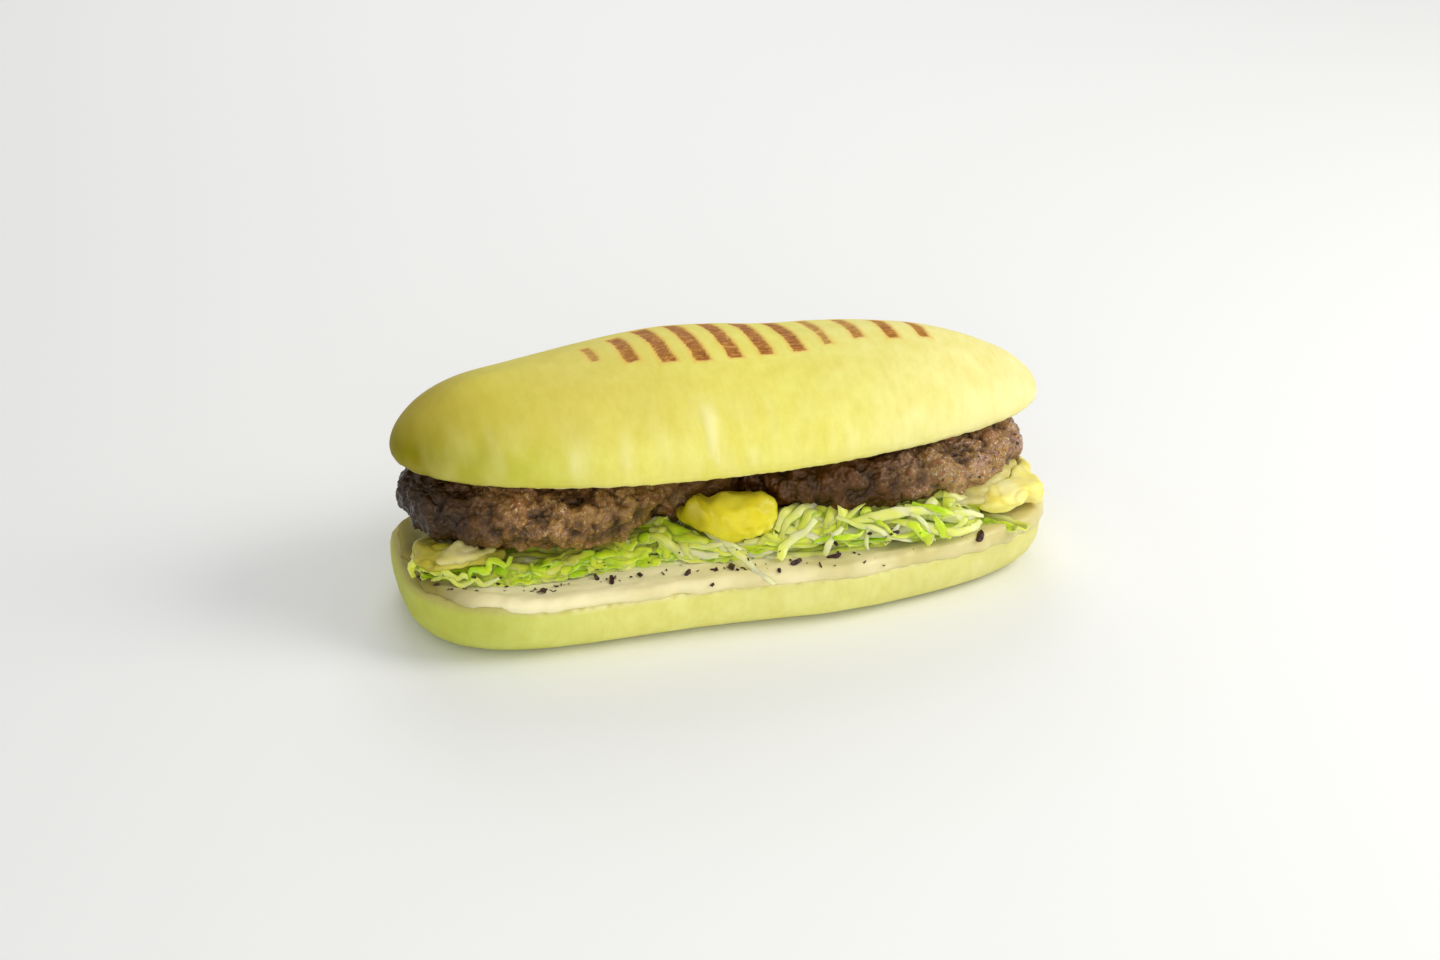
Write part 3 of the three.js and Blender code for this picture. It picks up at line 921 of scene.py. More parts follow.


# %% [markdown]
# ## Fried minced meat
#
# Browned beef with onion and herbs. The lumps run from deep brown to a greyish pink where the crust broke,
# and here and there sit golden bits of onion and dark green herbs. The creases are painted nearly black as
# shade, the lumps lighter as lit, and the stretches that lie in shade darker still. A film of fat gives
# small warm glints, so a thin coat with bumps of its own lies over rougher meat; pale specks add painted
# glints.

# %% Meat material
def minced_meat():
    """Fried minced meat, coloured by the relief's height as painted shade and light, by each lump's own
    number, and darker along the roll as painted shade.
    """
    material, tree = new_material("fried_mince")
    where = add(tree, "ShaderNodeTexCoord").outputs["Object"]
    apart = add(tree, "ShaderNodeSeparateXYZ", links={0: where})
    # From nearly black in the creases to tan on the lumps: painted shade in the creases and painted light on
    # the lumps
    height = add(tree, "ShaderNodeAttribute", {"attribute_name": "height"})
    depth = add(tree, "ShaderNodeMapRange", {"From Min": -1.5, "From Max": 1.4},
                {"Value": height.outputs["Fac"]})
    browns = add(tree, "ShaderNodeValToRGB", links={"Fac": depth}, stops=(
        (0, "201205"), (0.25, "46301a"), (0.5, "80603a"), (0.72, "a48156"), (1, "ceac80"),
    ))
    # Each lump has a kind of its own, broken up by finer blotches, and shows it more where it stands out
    lump = add(tree, "ShaderNodeAttribute", {"attribute_name": "lump"})
    blotch = add(tree, "ShaderNodeTexNoise", {"Scale": PER_MM / 2.4, "Detail": 4.0, "Roughness": 0.65},
                 {"Vector": where})
    broken = add(tree, "ShaderNodeMapRange",
                 {"From Min": 0.3, "From Max": 0.7, "To Min": -0.5, "To Max": 0.5},
                 {"Value": blotch.outputs["Fac"]})
    kind = add(tree, "ShaderNodeMath", {"operation": "ADD"}, {0: lump.outputs["Fac"], 1: broken})
    kinds = add(tree, "ShaderNodeValToRGB", links={"Fac": kind}, stops=(
        (0, "5c3a22"), (0.18, "b8968a"), (0.34, "5a3218"), (0.5, "b8883e"), (0.64, "8c8464"), (0.8, "8e4c28"),
        (1, "9a7250"),
    ))
    patch = add(tree, "ShaderNodeTexNoise", {"Scale": PER_MM / 6, "Detail": 3.0}, {"Vector": where})
    kind_part = add(tree, "ShaderNodeMapRange",
                    {"From Min": 0.35, "From Max": 0.65, "To Min": 0.6, "To Max": 1.3},
                    {"Value": patch.outputs["Fac"]})
    lit_part = add(tree, "ShaderNodeMath", {"operation": "MULTIPLY"}, {0: kind_part, 1: depth})
    lumpy = add(tree, "ShaderNodeMix", {"data_type": "RGBA"},
                {0: lit_part, 6: browns.outputs["Color"], 7: kinds.outputs["Color"]})
    # Pale specks on the lumps, partly fat and partly painted glints, and a herb in one cell out of five
    fat_and_glint = add(tree, "ShaderNodeTexNoise", {"Scale": PER_MM / 1.1, "Detail": 4.0, "Roughness": 0.7},
              {"Vector": where})
    fat_and_glint_part = add(tree, "ShaderNodeMapRange", {"From Min": 0.58, "From Max": 0.66, "To Max": 1.3},
                   {"Value": fat_and_glint.outputs["Fac"]})
    fat_and_glint_lit = add(tree, "ShaderNodeMath", {"operation": "MULTIPLY"}, {0: fat_and_glint_part, 1: depth})
    fat_and_glinted = add(tree, "ShaderNodeMix", {"data_type": "RGBA", 7: rgb("e6d2b4")},
                {0: fat_and_glint_lit, 6: lumpy.outputs[2]})
    herbs = add(tree, "ShaderNodeTexVoronoi", {"Scale": PER_MM / 3.4}, {"Vector": where})
    herb_spot = add(tree, "ShaderNodeMapRange", {"From Min": 0.2, "From Max": 0.14},
                    {"Value": herbs.outputs["Distance"]})
    herb_pick = add(tree, "ShaderNodeSeparateColor", links={0: herbs.outputs["Color"]})
    herb_rare = add(tree, "ShaderNodeMath", {"operation": "GREATER_THAN", 1: 0.8}, {0: herb_pick})
    herb_part = add(tree, "ShaderNodeMath", {"operation": "MULTIPLY"}, {0: herb_spot, 1: herb_rare})
    meat = add(tree, "ShaderNodeMix", {"data_type": "RGBA", 7: rgb("2b3419")},
               {0: herb_part, 6: fat_and_glinted.outputs[2]})
    # Painted shade along the roll: darkest at the far left end and over the left part of the right patty,
    # where shade falls, and none at the far right
    along = add(tree, "ShaderNodeMapRange", ROLL_ENDS, {"Value": apart.outputs["X"]})
    meat_painted_shade = add(tree, "ShaderNodeValToRGB", links={"Fac": along}, stops=(
        (0, "2a1c10"), (0.08, "624e2e"), (0.16, "f6ecd0"), (0.34, "ccc8a0"), (0.46, "b8ac84"),
        (0.52, "6a4c22"), (0.7, "7c602e"), (0.84, "ffffff"), (1, "ffffff"),
    ))
    meat_shaded = add(tree, "ShaderNodeMix", {"data_type": "RGBA", "blend_type": "MULTIPLY", 0: 1.0},
                 {6: meat.outputs[2], 7: meat_painted_shade.outputs["Color"]})
    # Gloss that changes from patch to patch, over a fine grain
    grain = add(tree, "ShaderNodeTexNoise", {"Scale": PER_MM / 0.9, "Detail": 4.0, "Roughness": 0.65},
                {"Vector": where})
    bump = add(tree, "ShaderNodeBump", {"Strength": 0.7, "Distance": 0.0004},
               {"Height": grain.outputs["Fac"]})
    rough = add(tree, "ShaderNodeMapRange",
                {"From Min": 0.35, "From Max": 0.65, "To Min": 0.26, "To Max": 0.48},
                {"Value": patch.outputs["Fac"]})
    # The film of fat follows a grain of its own, so that it glints in points and not in sheets
    beads = add(tree, "ShaderNodeTexNoise", {"Scale": PER_MM / 1.1, "Detail": 2.0, "Roughness": 0.5},
                {"Vector": where})
    film = add(tree, "ShaderNodeBump", {"Strength": 1.0, "Distance": 0.0007},
               {"Height": beads.outputs["Fac"]})
    shader = add(tree, "ShaderNodeBsdfPrincipled", {
        "IOR": 1.45, "Specular IOR Level": 0.6, "Specular Tint": rgb("f0bc80"),
        "Coat Weight": 0.35, "Coat Roughness": 0.1, "Subsurface Weight": 0.06,
        "Subsurface Radius": (0.002, 0.001, 0.0006), "Subsurface Scale": 1.0,
    }, {"Base Color": meat_shaded.outputs[2], "Roughness": rough, "Normal": bump,
        "Coat Normal": film})
    add(tree, "ShaderNodeOutputMaterial", links={"Surface": shader})
    return material


fried_mince = minced_meat()
for patty_name, facts in PATTIES.items():
    put(patty_name + "_meat", patty(patty_name + "_meat", fried_mince, **facts), "meat", patty_name)

# %% [markdown]
# ## The melted cheese
#
# Cheese that has melted and set again keeps rounded lobes with soft creases where one tongue ran over
# another. Each lump starts from its solid: a copy is merged, turned into an even fine skin by voxel
# remeshing and smoothed, and then noise raises folds on it. Remeshing suits it, because the lobes grow
# together as melted ones do. The folds are drawn out along the roll where a slice was folded under.

# %% Shape of the cheese
WELD_WITHIN = 1e-5


def grown_together(mesh, voxel, rounds):
    """One even skin round everything in a mesh, smoothed in rounds. The voxel's size is in millimetres."""
    host = new_object("lump", mesh)
    weld = host.modifiers.new("weld", "WELD")
    weld.merge_threshold = WELD_WITHIN
    skin = host.modifiers.new("skin", "REMESH")
    skin.mode = "VOXEL"
    skin.voxel_size = voxel
    relax = host.modifiers.new("relax", "SMOOTH")
    relax.factor = 0.8
    relax.iterations = rounds
    made = bpy.data.meshes.new_from_object(host.evaluated_get(bpy.context.evaluated_depsgraph_get()))
    drop(host)
    for polygon in made.polygons:
        polygon.use_smooth = True
    return made


def melted(node, material, height, size, drawn_out, crease_depth, knobs, olive, lift, shift):
    """One lump of cheese, from a copy of its solid.

    Height and size are those of its folds, which are drawn out along the roll. Knobs are small bumps low at
    its right. Olive is how far its left end takes the deep tone, which is painted shade, and lift how far
    that end has risen. Shift is its place in the noise.
    """
    solid = frame["nodes"][node].data.copy()
    write_points(solid, (read_points(solid) - HOME) / MM)
    made = grown_together(solid, 0.5, 16)
    points = read_points(made)
    normals = read_normals(made)
    low, high = points.min(0), points.max(0)
    space = points * [1 / drawn_out, 1, 1]
    slow = wobble(space, size, 2, shift)
    crease = np.abs(wobble(space, size * 0.9, 1, shift + 4))
    creased = crease_depth * (1 - ease(crease, 0.0, 0.16))
    inside = (points - low) / (high - low)
    knobby = ease(inside[:, 0], 0.5, 0.7) * ease(-inside[:, 2], -0.55, -0.35)
    bumps = knobs * knobby * wobble(points, 1.9, 1, shift + 8)
    rise = height * (slow - 0.35 * creased - 0.2) + bumps + 0.06 * wobble(points, 1.5, 1, shift + 2)
    lifted = ease(-inside[:, 0], -0.55, 0)
    points += normals * (rise + 0.2 * lift * lifted)[:, None]
    points[:, 0] += 0.7 * lift * ease(-inside[:, 0], -0.4, 0.05)
    points[:, 2] += lift * lifted
    write_points(made, points)
    # The crease note takes the creases and the left end towards the deep tone: painted shade
    note(made, "crease", np.clip(creased + olive * ease(-inside[:, 0], -0.45, -0.1), 0, 1))
    # Painted highlights on the tops of the knobs
    note(made, "pale", np.clip(knobby * ease(bumps, 0, 0.3 + knobs), 0, 1))
    made.materials.clear()
    made.materials.append(material)
    return made


# %% [markdown]
# ## Processed cheese
#
# A young yellow cheese, melted: waxy, slightly see-through, strongest yellow where it is thick. The deeper
# tone in its creases and at the left end of a lump is painted shade, and the nearly white tops of small knobs
# are painted highlights. Light goes several millimetres in, so shadows in it stay warm and yellow instead of
# turning brown.

# %% Cheese material
def cheese_material(name, deep, body, pale):
    """Melted cheese in three tones."""
    material, tree = new_material(name)
    where = add(tree, "ShaderNodeTexCoord").outputs["Object"]
    drift = add(tree, "ShaderNodeTexNoise", {"Scale": PER_MM / 9, "Detail": 3.0}, {"Vector": where})
    tones = add(tree, "ShaderNodeValToRGB", links={"Fac": drift.outputs["Fac"]},
                stops=((0.3, body), (0.7, pale)))
    # The deep tone in the creases and at a lump's left end is painted shade
    crease = add(tree, "ShaderNodeAttribute", {"attribute_name": "crease"})
    crease_part = add(tree, "ShaderNodeMath", {"operation": "MULTIPLY", 1: 0.8}, {0: crease.outputs["Fac"]})
    tone = add(tree, "ShaderNodeMix", {"data_type": "RGBA", 7: rgb(deep)},
               {0: crease_part, 6: tones.outputs["Color"]})
    # Nearly white painted highlights on the tops of the knobs
    knob = add(tree, "ShaderNodeAttribute", {"attribute_name": "pale"})
    knob_part = add(tree, "ShaderNodeMath", {"operation": "MULTIPLY", 1: 0.8}, {0: knob.outputs["Fac"]})
    topped = add(tree, "ShaderNodeMix", {"data_type": "RGBA", 7: rgb("f4efb4")},
                 {0: knob_part, 6: tone.outputs[2]})
    ripple = add(tree, "ShaderNodeTexNoise", {"Scale": PER_MM / 2.4, "Detail": 2.0}, {"Vector": where})
    bump = add(tree, "ShaderNodeBump", {"Strength": 0.12, "Distance": 0.0006},
               {"Height": ripple.outputs["Fac"]})
    shader = add(tree, "ShaderNodeBsdfPrincipled", {
        "IOR": 1.45, "Roughness": 0.34, "Specular IOR Level": 0.35, "Subsurface Weight": 0.5,
        "Subsurface Radius": (0.005, 0.004, 0.0008), "Subsurface Scale": 1.0,
    }, {"Base Color": topped.outputs[2], "Normal": bump})
    add(tree, "ShaderNodeOutputMaterial", links={"Surface": shader})
    return material


# What melted() takes after the material, then the deep, the body's and the pale tone
CHEESES = {
    "cheese_left": (1.8, 7.0, 1.3, 0.4, 0.0, 0.5, 0.0, 2.0, ("8f8318", "b8ab22", "d2c85c")),
    "cheese_middle": (1.1, 7.0, 1.0, 0.1, 0.9, 1.2, 6.0, 11.0, ("9c9004", "d6c606", "e8de40")),
    "cheese_right": (1.5, 6.5, 1.4, 0.5, 0.5, 0.35, 0.0, 23.0, ("d4c01c", "ecdf66", "f6f0b4")),
}
for cheese_name, (*shape, tones) in CHEESES.items():
    wax = cheese_material(cheese_name + "_wax", *tones)
    put(cheese_name + "_melt", melted(cheese_name, wax, *shape), "cheese", cheese_name)

# %% [markdown]
# ## Sauce on the cheese
#
# Some of the sesame sauce was wiped over the left smear of cheese, and some of it ran together with the
# right cheese into a film that fills the gap under the meat. Both are a few drops grown into one skin, in
# the same way as the cheese. They have taken on some of its colour, so their material is the cheese's rule
# in beige tones.

# %% The smears of sauce
# Middle and size of each drop on the left cheese, in millimetres
SMEAR_DROPS = [
    ((-90, -19.5, 27.2), (7, 5, 3)), ((-88, -17.5, 28), (7, 6, 3.2)), ((-86, -20, 27.4), (6, 4, 3)),
    ((-83, -20.2, 27.6), (6, 3.4, 2.6)), ((-80, -19.4, 28), (6, 2.8, 2.4)), ((-77, -18.4, 28), (5, 2.4, 2.2)),
    ((-86.4, -16.6, 29), (5.4, 3.4, 3)), ((-85.4, -16, 30), (3.4, 3, 3)), ((-83, -17.4, 28.8), (7, 4, 3)),
]
# The same of the film by the right cheese
FILM_DROPS = [
    ((66, -24, 27.2), (7, 5, 2.2)), ((70, -26.4, 27.4), (8, 6, 2.6)), ((74.5, -28, 27.6), (8, 5, 2.6)),
    ((76, -24, 29.4), (10, 7, 3.4)), ((81, -20.5, 30.4), (11, 9, 4.6)), ((85, -17, 30.8), (10, 10, 6)),
    ((89, -13, 31), (9, 9, 5)),
]


def drops():
    """The drops as one mesh of balls stretched to size."""
    shape = bmesh.new()
    for middle, size in SMEAR_DROPS + FILM_DROPS:
        place = Matrix.Translation(middle) @ Matrix.Diagonal((*(s / 2 for s in size), 1))
        bmesh.ops.create_icosphere(shape, subdivisions=3, radius=1.0, matrix=place)
    mesh = bpy.data.meshes.new("drops")
    shape.to_mesh(mesh)
    shape.free()
    return mesh


smear = grown_together(drops(), 0.35, 12)
smear_points = read_points(smear)
smear_points += read_normals(smear) * (0.35 * wobble(smear_points, 4, 2, 6.0))[:, None]
write_points(smear, smear_points)
smear.materials.append(cheese_material("cheesy_tahini", "a3934e", "c4b85c", "d8cc92"))
put("sesame_smear", smear, "sauce")

# %% [markdown]
# ## The lettuce
#
# The heap is iceberg lettuce cut into strips: limp ribbons two to five millimetres wide and less than half
# a millimetre thick, which arch, twist and dip into the sauce. On the left they are short, bright, torn
# bits of leaf in a thin band; on the right long pale ribs lie along the roll in a heap twice as high, with
# a few loose ones on top. A low core fills the inside. Each strip has a path that wanders over the bed,
# between the sauce and whatever presses on it from above. The strips that the eye goes to pass through
# places of their own. Geometry Nodes turn every path into a ribbon: it follows a path, so a swept curve
# fits better than bent boxes.

# %% The core of the heap
LETTUCE_FLOOR = SAUCE_FLOOR + 3.3
BED_LENGTH = 184
BED_WIDTH = 64
BED_POWER = 2.8
BED_MIDDLE = np.array([-2.0, 1.5])
CORE_HEIGHT = 2.6
# How much shorter and narrower the core is than the heap
CORE_INSET = (26, 16)


def lettuce_core(leaf_material):
    """A low, rough core, smaller than the heap."""
    side = [(0.7 + 0.3 * r, 0.4 + (CORE_HEIGHT - 0.4) * h) for r, h in quarter(2.2)]
    mesh = loaf("lettuce_core", BED_LENGTH - CORE_INSET[0], BED_WIDTH - CORE_INSET[1], BED_POWER, 0.7,
                [(0, 0), (0.97, 0), *side, (0, CORE_HEIGHT)], 320, 90, leaf_material)
    points = read_points(mesh)
    normals = read_normals(mesh)
    points += normals * (0.9 * wobble(points * [0.4, 1, 1], 3, 3, 12.0))[:, None]
    points[:, :2] += BED_MIDDLE
    points[:, 2] += LETTUCE_FLOOR
    write_points(mesh, points)
    note(mesh, "tint", 0.55 + 0.45 * wobble(points * [0.4, 1, 1], 5, 2, 1.0))
    note(mesh, "edge", np.zeros(len(points)))
    return mesh


# %% Room for a strip
# Millimetres along the roll, and the heap's front edge there
HEAP_FRONT = [
    (-102, -14), (-90, -18.5), (-80, -23.5), (-67, -27), (-54, -28), (-33, -26.5), (-18, -27.5), (-7, -30),
    (6, -32), (15, -34), (31, -35.5), (50, -37), (62, -37), (73, -34), (78, -22), (84, -8),
]
# Millimetres along the roll, and how far behind the edge the heap is at its full height
HEAP_SLOPE = [(-40, 4), (10, 9)]
# Millimetres along the roll, and the heap's height there
HEAP_HEIGHT = [(-100, 3.2), (-35, 4.4), (-22, 7.5), (-8, 6.5), (8, 8.5), (66, 8.5), (84, 4)]
# Middle, size and underside of the cheeses that press on the heap
CHEESE_FEET = [
    (-85.5, -12, 29, 22, 22.3), (-13.5, -19.5, 19, 16, 23.7),
    (0.5, -21.5, 23, 18, 22.8), (84, -8, 30, 50, 20.9),
]


def front_edge(x):
    """Where the heap ends in front."""
    return float(np.interp(x, *zip(*HEAP_FRONT)))


def back_edge(x):
    """Where the heap ends at the back."""
    reach = max(0, 1 - (abs(x - BED_MIDDLE[0]) / (BED_LENGTH / 2)) ** BED_POWER)
    return BED_MIDDLE[1] + BED_WIDTH / 2 * reach ** (1 / BED_POWER)


def patty_bottom(x, y, facts):
    """Height of a patty's underside above a place, or None beside the patty."""
    length, width, thickness = (
        size * part for size, part in zip((KOFTA_LENGTH, KOFTA_WIDTH, KOFTA_THICKNESS), facts["share"])
    )
    turn = math.radians(facts["turn"])
    dx, dy = x - facts["x"], y - facts["y"]
    dx += facts["undercut"] * float(ease(np.array(dx / length), 0.1, 0.45))
    across_x = abs(dx * math.cos(turn) + dy * math.sin(turn)) / (length / 2)
    across_y = abs(-dx * math.sin(turn) + dy * math.cos(turn)) / (width / 2)
    from_middle = (across_x ** 2.2 + across_y ** 2.2) ** (1 / 2.2)
    if from_middle >= 1:
        return None
    half = thickness / 2 * (1 - from_middle ** 2.5) ** (1 / 2.5)
    return crown_cut_at(facts["x"]) - CROWN_GAP - thickness / 2 - half


def room_above(x, y):
    """How high the strips may reach at a place."""
    from_edge = np.array(min(y - front_edge(x), back_edge(x) - y))
    slope = np.interp(x, *zip(*HEAP_SLOPE))
    top = LETTUCE_FLOOR + float(np.interp(x, *zip(*HEAP_HEIGHT)) * ease(from_edge, -3, slope))
    for facts in PATTIES.values():
        under = patty_bottom(x, y, facts)
        if under is not None:
            top = min(top, under - 0.1)
    for foot_x, foot_y, foot_length, foot_width, underside in CHEESE_FEET:
        if math.hypot((x - foot_x) / foot_length, (y - foot_y) / foot_width) < 0.47:
            top = min(top, underside)
    return max(top, LETTUCE_FLOOR + 0.3)


# %% Paths of the strips
STEP = 2.5


def wander(rng, start, heading, length, layer, inset, swing):
    """A path from start: its heading drifts, it turns along the edges, and it rises and falls in the heap."""
    x, y = start
    bend = rng.uniform(-0.05, 0.05)
    phase = rng.uniform(0, 2 * math.pi)
    path = []
    for i in range(max(3, int(length / STEP) + 1)):
        kept_x = min(max(x, -97 + inset), 88)
        kept_y = min(max(y, front_edge(kept_x) + inset), back_edge(kept_x) - inset)
        share = min(1.3, max(0, layer + swing * math.sin(phase + i * STEP / 6)))
        height = (room_above(kept_x, kept_y) - LETTUCE_FLOOR) * share
        path.append((kept_x, kept_y, LETTUCE_FLOOR + 0.2 + height))
        heading += bend * STEP / 2 + rng.uniform(-0.12, 0.12)
        x += STEP * math.cos(heading)
        y += STEP * math.sin(heading)
    return path


# Patches of the heap: how many strips, from and to along the roll, from and to behind the front edge,
# length, half width, tint from green to white, the way they run (0 is along the roll), how far one may
# turn from that, how far it swings up and down, and how high in the heap it lies (over 1 is on top of it)
RIB_PATCHES = [
    (26, (-2, 80), (3, 12), (26, 46), (1.4, 2.6), (0.35, 0.85), 0.0, 0.4, 0.08, (0.6, 0.95)),
    (14, (8, 76), (3, 9), (20, 36), (1.2, 2.4), (0.6, 1.0), 0.0, 0.5, 0.06, (1.0, 1.25)),
    (14, (4, 66), (1, 6), (14, 26), (1.0, 2.0), (0.5, 1.0), 0.75, 0.5, 0.06, (1.0, 1.25)),
    (18, (-34, -8), (7, 18), (22, 40), (1.2, 2.4), (0.3, 0.8), -0.6, 0.2, 0.06, (0.7, 0.95)),
    (12, (-32, -14), (7, 14), (24, 36), (1.1, 2.0), (0.6, 1.0), -0.6, 0.2, 0.04, (1.0, 1.25)),
    (18, (0, 66), (0, 6), (14, 28), (1.2, 2.2), (0.4, 0.85), 0.75, 0.4, 0.1, (0.4, 0.95)),
    (14, (-20, 76), (0, 3), (18, 32), (1.3, 2.4), (0.5, 0.9), 0.0, 0.3, 0.06, (0.0, 0.25)),
    (16, (-92, -20), (1, 8), (16, 32), (1.0, 2.0), (0.4, 0.85), 0.0, 0.4, 0.12, (0.2, 0.9)),
    (45, (-90, 78), (50, 64), (20, 40), (1.3, 2.6), (0.4, 0.85), 0.0, 0.4, 0.2, (0.2, 1.0)),
    (20, (-90, 76), (6, 55), (20, 40), (1.3, 2.4), (0.4, 0.85), 0.0, 3.1, 0.2, (0.2, 1.0)),
]
LEAF_PATCHES = [
    (46, (-97, -24), (0, 4), (14, 26), (1.0, 2.0), (0.0, 0.7), 0.0, 0.6, 0.2, (0.3, 1.0)),
    (34, (-92, -28), (0, 4), (7, 13), (1.4, 2.6), (0.0, 0.5), 0.0, 1.2, 0.3, (0.6, 1.0)),
    (24, (-2, 80), (2, 10), (16, 34), (1.2, 2.6), (0.0, 0.45), 0.0, 0.7, 0.12, (0.5, 1.05)),
    (14, (-34, -8), (6, 16), (18, 32), (1.2, 2.4), (0.0, 0.4), -0.6, 0.35, 0.08, (0.7, 1.1)),
    (16, (0, 66), (0, 6), (12, 22), (1.0, 2.2), (0.0, 0.4), 0.75, 0.5, 0.16, (0.4, 1.0)),
    (50, (-92, 80), (54, 66), (12, 24), (1.4, 2.6), (0.05, 0.6), 0.0, 1.0, 0.3, (0.1, 1.0)),
    (25, (-90, 76), (6, 55), (12, 24), (1.4, 2.6), (0.05, 0.6), 0.0, 3.1, 0.3, (0.2, 1.0)),
]
# Single strips: half width, tint, lean towards the front, and the places they pass in millimetres
OWN_RIBS = [
    (1.2, 1.0, 0.4, [(-7.3, -25.3, 24.5), (-4.3, -31.3, 23.2), (-1, -38.7, 21.2), (3.9, -45.2, 18)]),
    (1.7, 0.85, 0.6, [(-26.1, -21.8, 23.5), (-17.6, -27.1, 23), (-9.3, -30.8, 22.3)]),
    (1.6, 0.8, 0.5, [(-12.7, -18.3, 28), (-7.9, -25.9, 26), (-2.3, -30.9, 23.2)]),
    (1.7, 0.9, 0.5, [(7.6, -36.5, 21.3), (12.9, -32.4, 25), (21.8, -29.3, 29)]),
    (1.1, 0.95, 0.5, [(21.3, -37.5, 21.5), (23.3, -36.8, 24), (28.8, -33.5, 27.5)]),
    (1.8, 0.85, 0.9, [(33.2, -31.9, 28), (40, -32.9, 29.3), (47.4, -34.1, 30), (55.7, -34.2, 30),
                      (61, -35, 29)]),
    (1.4, 0.75, 0.8, [(44.2, -33.7, 27.3), (54.5, -37.8, 26), (64.8, -40.3, 24), (73.7, -35.9, 24)]),
    (1.2, 0.95, 0.8, [(59.4, -36.1, 28), (68.7, -36.9, 28.5), (73.5, -36.9, 26)]),
    (1.2, 0.9, 0.5, [(28, -30, 29), (36, -34.5, 27.5), (44, -37.5, 24.5), (50, -38.5, 22)]),
    (0.8, 1.0, 0.6, [(46, -31, 30), (52, -36, 29), (55, -38.5, 26), (57, -39.5, 22)]),
    (0.9, 0.8, 0.6, [(64, -31, 30), (68, -35, 28.5), (66, -38, 26), (62, -38.5, 24)]),
    (0.7, 1.0, 0.4, [(36.1, -34.7, 27.5), (35.9, -37, 24), (36.2, -38, 21.3)]),
    (0.9, 0.9, 0.7, [(41.4, -37.5, 22), (43.3, -37.3, 24.5), (46.2, -36, 27)]),
    (1.2, 0.8, 0.8, [(20.8, -29.5, 26.5), (23.9, -31.9, 23.5), (26.3, -33.1, 25.5)]),
    (1.5, 0.6, 0.3, [(-99.5, -15.5, 20.8), (-99.5, -13, 24), (-97, -13, 25.3), (-93.5, -16.5, 23.5)]),
]
OWN_LEAVES = [
    (2.2, 0.2, 0.6, [(-24.6, -14.5, 28.5), (-20.8, -19.8, 27.5), (-16.5, -23.4, 26), (-6, -27.4, 24)]),
    (1.7, 0.3, 0.6, [(-24.8, -19.6, 26), (-17.9, -23, 26.3), (-11.6, -26, 25.5)]),
    (1.0, 0.3, 0.4, [(-31.3, -21.6, 23.5), (-27.2, -23.5, 23.5), (-23.4, -25.6, 22.5), (-21.9, -28.6, 21.3)]),
    (1.6, 0.15, 0.5, [(10, -21.5, 27), (15, -25.5, 28.5), (20, -26.5, 29.5), (25, -25.5, 29.5)]),
    (0.9, 0.1, 0.6, [(20, -33.5, 24.5), (26, -36, 25.5), (32, -35.8, 25.5), (38, -33, 27)]),
    (1.3, 0.15, 0.6, [(52, -31.5, 31), (56.2, -33.8, 31), (60, -36.2, 30.4), (63.5, -36.8, 28.5)]),
    (1.0, 0.3, 0.5, [(36, -31, 29.5), (41, -35, 28), (44, -37.4, 25), (49, -37.6, 24), (54, -36, 25)]),
    (1.6, 0.3, 0.8, [(49.4, -36.9, 28), (51.9, -39.1, 26), (54.4, -39.6, 23.5), (53.6, -41, 21.3)]),
    (1.5, 0.25, 0.8, [(57, -37, 28.5), (59, -39.5, 25.5), (62, -40.5, 23)]),
    (0.8, 0.4, 0.3, [(-81.3, -15, 24), (-83, -19, 21), (-86.5, -21.5, 17.5), (-83, -22.5, 17.5),
                     (-79, -20, 22)]),
    (1.0, 0.5, 0.7, [(-98, -16, 22.6), (-97, -18, 25), (-92.5, -20.4, 23.6), (-91.6, -21.4, 25.8),
                     (-88.4, -23.4, 22.6), (-86, -24, 24.4), (-83.5, -24.6, 23)]),
    (1.2, 0.15, 0.6, [(-84.5, -25, 22.6), (-83, -23.6, 25.8), (-79, -24, 24.6), (-77.4, -22.4, 27),
                      (-73, -23.8, 25.2), (-71, -22, 26.8)]),
    (0.9, 0.7, 0.5, [(-95, -20, 22), (-91, -23, 23.4), (-87.6, -25, 21.2), (-82.5, -25, 22.8),
                     (-80.4, -26.6, 21.2), (-76, -26, 22.4)]),
]


def strips(patches, own, rng):
    """Every strip of one kind as its path, half width, tint, lean and twist."""
    made = []
    for count, along_range, behind, lengths, widths, tints, aim, turn, swing, layers in patches:
        for _ in range(count):
            x = rng.uniform(*along_range)
            y = front_edge(x) + rng.uniform(*behind)
            heading = aim + (0 if aim else rng.choice((0, math.pi))) + rng.uniform(-turn, turn)
            inset = rng.uniform(-0.8, 0.8) + (0 if aim else max(0, behind[0]))
            path = wander(rng, (x, y), heading, rng.uniform(*lengths), rng.uniform(*layers), inset, swing)
            made.append((path, rng.uniform(*widths), rng.uniform(*tints), rng.uniform(0.1, 0.8),
                         rng.uniform(-1.2, 1.2) * min(turn, 1.3)))
    for half_width, tint_, lean, path in own:
        made.append((path, half_width, tint_, lean, rng.uniform(-0.4, 0.4)))
    return made


